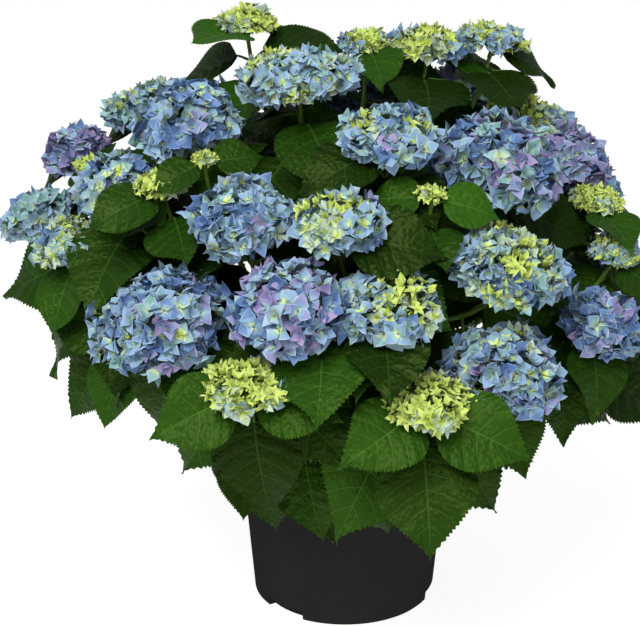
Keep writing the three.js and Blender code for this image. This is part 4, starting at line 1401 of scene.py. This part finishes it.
class MakeLeaves(PlantOperator, bpy.types.Operator):
    """Makes the toothed, quilted leaves"""

    bl_idname = "hydrangea.leaves"
    bl_label = "Leaves"

    PIECES, WAVE_PHASE = 3, 2.1
    # The top leaves under an unripe head are young. The weights are of the leaf tints, from dark to young.
    YOUNG_UNTIL, YOUNG_WEIGHTS, GROWN_WEIGHTS = 0.3, [1, 4, 3, 1], [4, 5, 1, 0]

    def execute(self, context):
        forms = [blade_prototype(form, self.WAVE_PHASE * i) for i, form in enumerate(BLADE_FORMS)]
        pieces = [Copies(f"leaves_{i + 1}") for i in range(self.PIECES)]
        for i, leaf in enumerate(grown_leaves()):
            rng = random.Random(SEED + 13 * i)
            young = leaf.pair == 0 and leaf.shoot.width and leaf.shoot.ripeness < self.YOUNG_UNTIL
            weights = self.YOUNG_WEIGHTS if young else self.GROWN_WEIGHTS
            tint = rng.choices(list(LEAF_TINTS), weights)[0]
            finishes = "leaf_" + tint, "vein_" + tint, "underside"
            pieces[i % self.PIECES].add(forms[leaf.form], leaf.matrix(), *finishes)
        for piece in pieces:
            carry(piece.build(), "foliage", *MASS_NODES)
        return {"FINISHED"}


class MakeBlossom(PlantOperator, bpy.types.Operator):
    """Makes the flower heads, floret by floret"""

    bl_idname = "hydrangea.blossom"
    bl_label = "Flower heads"

    PIECES = {"petals_blue": 3, "petals_lavender": 1, "petals_lime": 2}

    def execute(self, context):
        forms = {}
        for seed, (kind, *form) in enumerate(FLORET_FORMS):
            forms.setdefault(kind, []).append(floret_prototype(*form, seed))
        bead, stalk = bead_prototype(), stalk_prototype()
        blossom = {slot: [Copies(f"florets_{slot[len('petals_'):]}_{i + 1}") for i in range(count)]
                   for slot, count in self.PIECES.items()}
        stalks = Copies("floret_stalks")
        for i, shoot in enumerate(shoot for shoot in all_shoots() if shoot.width):
            pieces = {slot: copies[i % len(copies)] for slot, copies in blossom.items()}
            Umbel(shoot).build(pieces, stalks, forms, bead, stalk)
        for slot, copies in blossom.items():
            for piece in copies:
                carry(piece.build(), slot, *MASS_NODES)
        carry(stalks.build(), "foliage", *MASS_NODES)
        return {"FINISHED"}


class MakeStage(PlantOperator, bpy.types.Operator):
    """Makes the studio floor, the lights and the camera"""

    bl_idname = "hydrangea.stage"
    bl_label = "Studio"

    CAMERA_PLACE, CAMERA_PITCH, LENS, SENSOR = (-0.033, -1.9, 1.0), -17.7, 85.2, 36
    FLOOR_REACH, FLOOR_SIDES = 16, 64
    KEY_PLACE, KEY_SIZE = (-0.7, -1.9, 2.6), 1.8
    FILL_PLACE, FILL_SIZE = (1.2, -2.4, 1.0), 1.6
    AIM = Vector((0, 0, 0.45))

    def execute(self, context):
        scene, stage = context.scene, context.scene.hydrangea_stage
        bm = bmesh.new()
        bmesh.ops.create_circle(bm, cap_ends=True, radius=self.FLOOR_REACH / MM, segments=self.FLOOR_SIDES)
        piece_from("studio_floor", bm, "studio_floor")
        self.light(scene, "key_light", self.KEY_PLACE, self.KEY_SIZE, stage.key)
        self.light(scene, "fill_light", self.FILL_PLACE, self.FILL_SIZE, stage.fill)
        world = bpy.data.worlds.new("studio_white")
        world.use_nodes = True
        background = world.node_tree.nodes["Background"].inputs
        background["Color"].default_value = (1, 1, 1, 1)
        background["Strength"].default_value = stage.sky
        scene.world = world
        scene.view_settings.view_transform = "Standard"
        camera = bpy.data.objects.new("camera", bpy.data.cameras.new("camera"))
        camera.data.lens, camera.data.sensor_width = self.LENS, self.SENSOR
        camera.location = self.CAMERA_PLACE
        camera.rotation_euler = (math.radians(90 + self.CAMERA_PITCH), 0, 0)
        scene.collection.objects.link(camera)
        scene.camera = camera
        return {"FINISHED"}

    def light(self, scene, name, place, size, power):
        """A square light that looks at the crown."""
        lamp = bpy.data.lights.new(name, "AREA")
        lamp.size, lamp.energy = size, power
        holder = bpy.data.objects.new(name, lamp)
        holder.location = place
        holder.rotation_euler = (self.AIM - Vector(place)).to_track_quat("-Z", "Y").to_euler()
        scene.collection.objects.link(holder)


OPERATORS = [MakeStage, MakePot, MakeSoil, MakeRootCrown, MakeCanes, MakeTwigs, MakeLeaves, MakeBlossom]
GROUPS = {
    "hydrangea_pot": HydrangeaPot, "hydrangea_plant": HydrangeaPlant,
    "hydrangea_colours": HydrangeaColours, "hydrangea_stage": HydrangeaStage,
}


class HydrangeaPanel(bpy.types.Panel):
    """Lists the sizes, the colours and the pieces"""

    bl_idname = "VIEW3D_PT_hydrangea"
    bl_label = "Potted hydrangea"
    bl_space_type = "VIEW_3D"
    bl_region_type = "UI"
    bl_category = "Hydrangea"

    def draw(self, context):
        for group_name, group in GROUPS.items():
            box = self.layout.box()
            for prop in group.__annotations__:
                box.prop(getattr(context.scene, group_name), prop)
        for operator in OPERATORS:
            self.layout.operator(operator.bl_idname)


def register():
    """Registers the classes and puts their settings on the scene."""
    for cls in [*GROUPS.values(), *OPERATORS, HydrangeaPanel]:
        bpy.utils.register_class(cls)
    for name, group in GROUPS.items():
        setattr(bpy.types.Scene, name, PointerProperty(type=group))


def unregister():
    """Takes the settings off the scene and the classes out of Blender."""
    for name in GROUPS:
        delattr(bpy.types.Scene, name)
    for cls in [HydrangeaPanel, *reversed(OPERATORS), *reversed(GROUPS.values())]:
        bpy.utils.unregister_class(cls)


def main():
    register()
    for operator in OPERATORS:
        area, name = operator.bl_idname.split(".")
        getattr(getattr(bpy.ops, area), name)()
    bpy.context.view_layer.update()


if __name__ == "__main__":
    main()
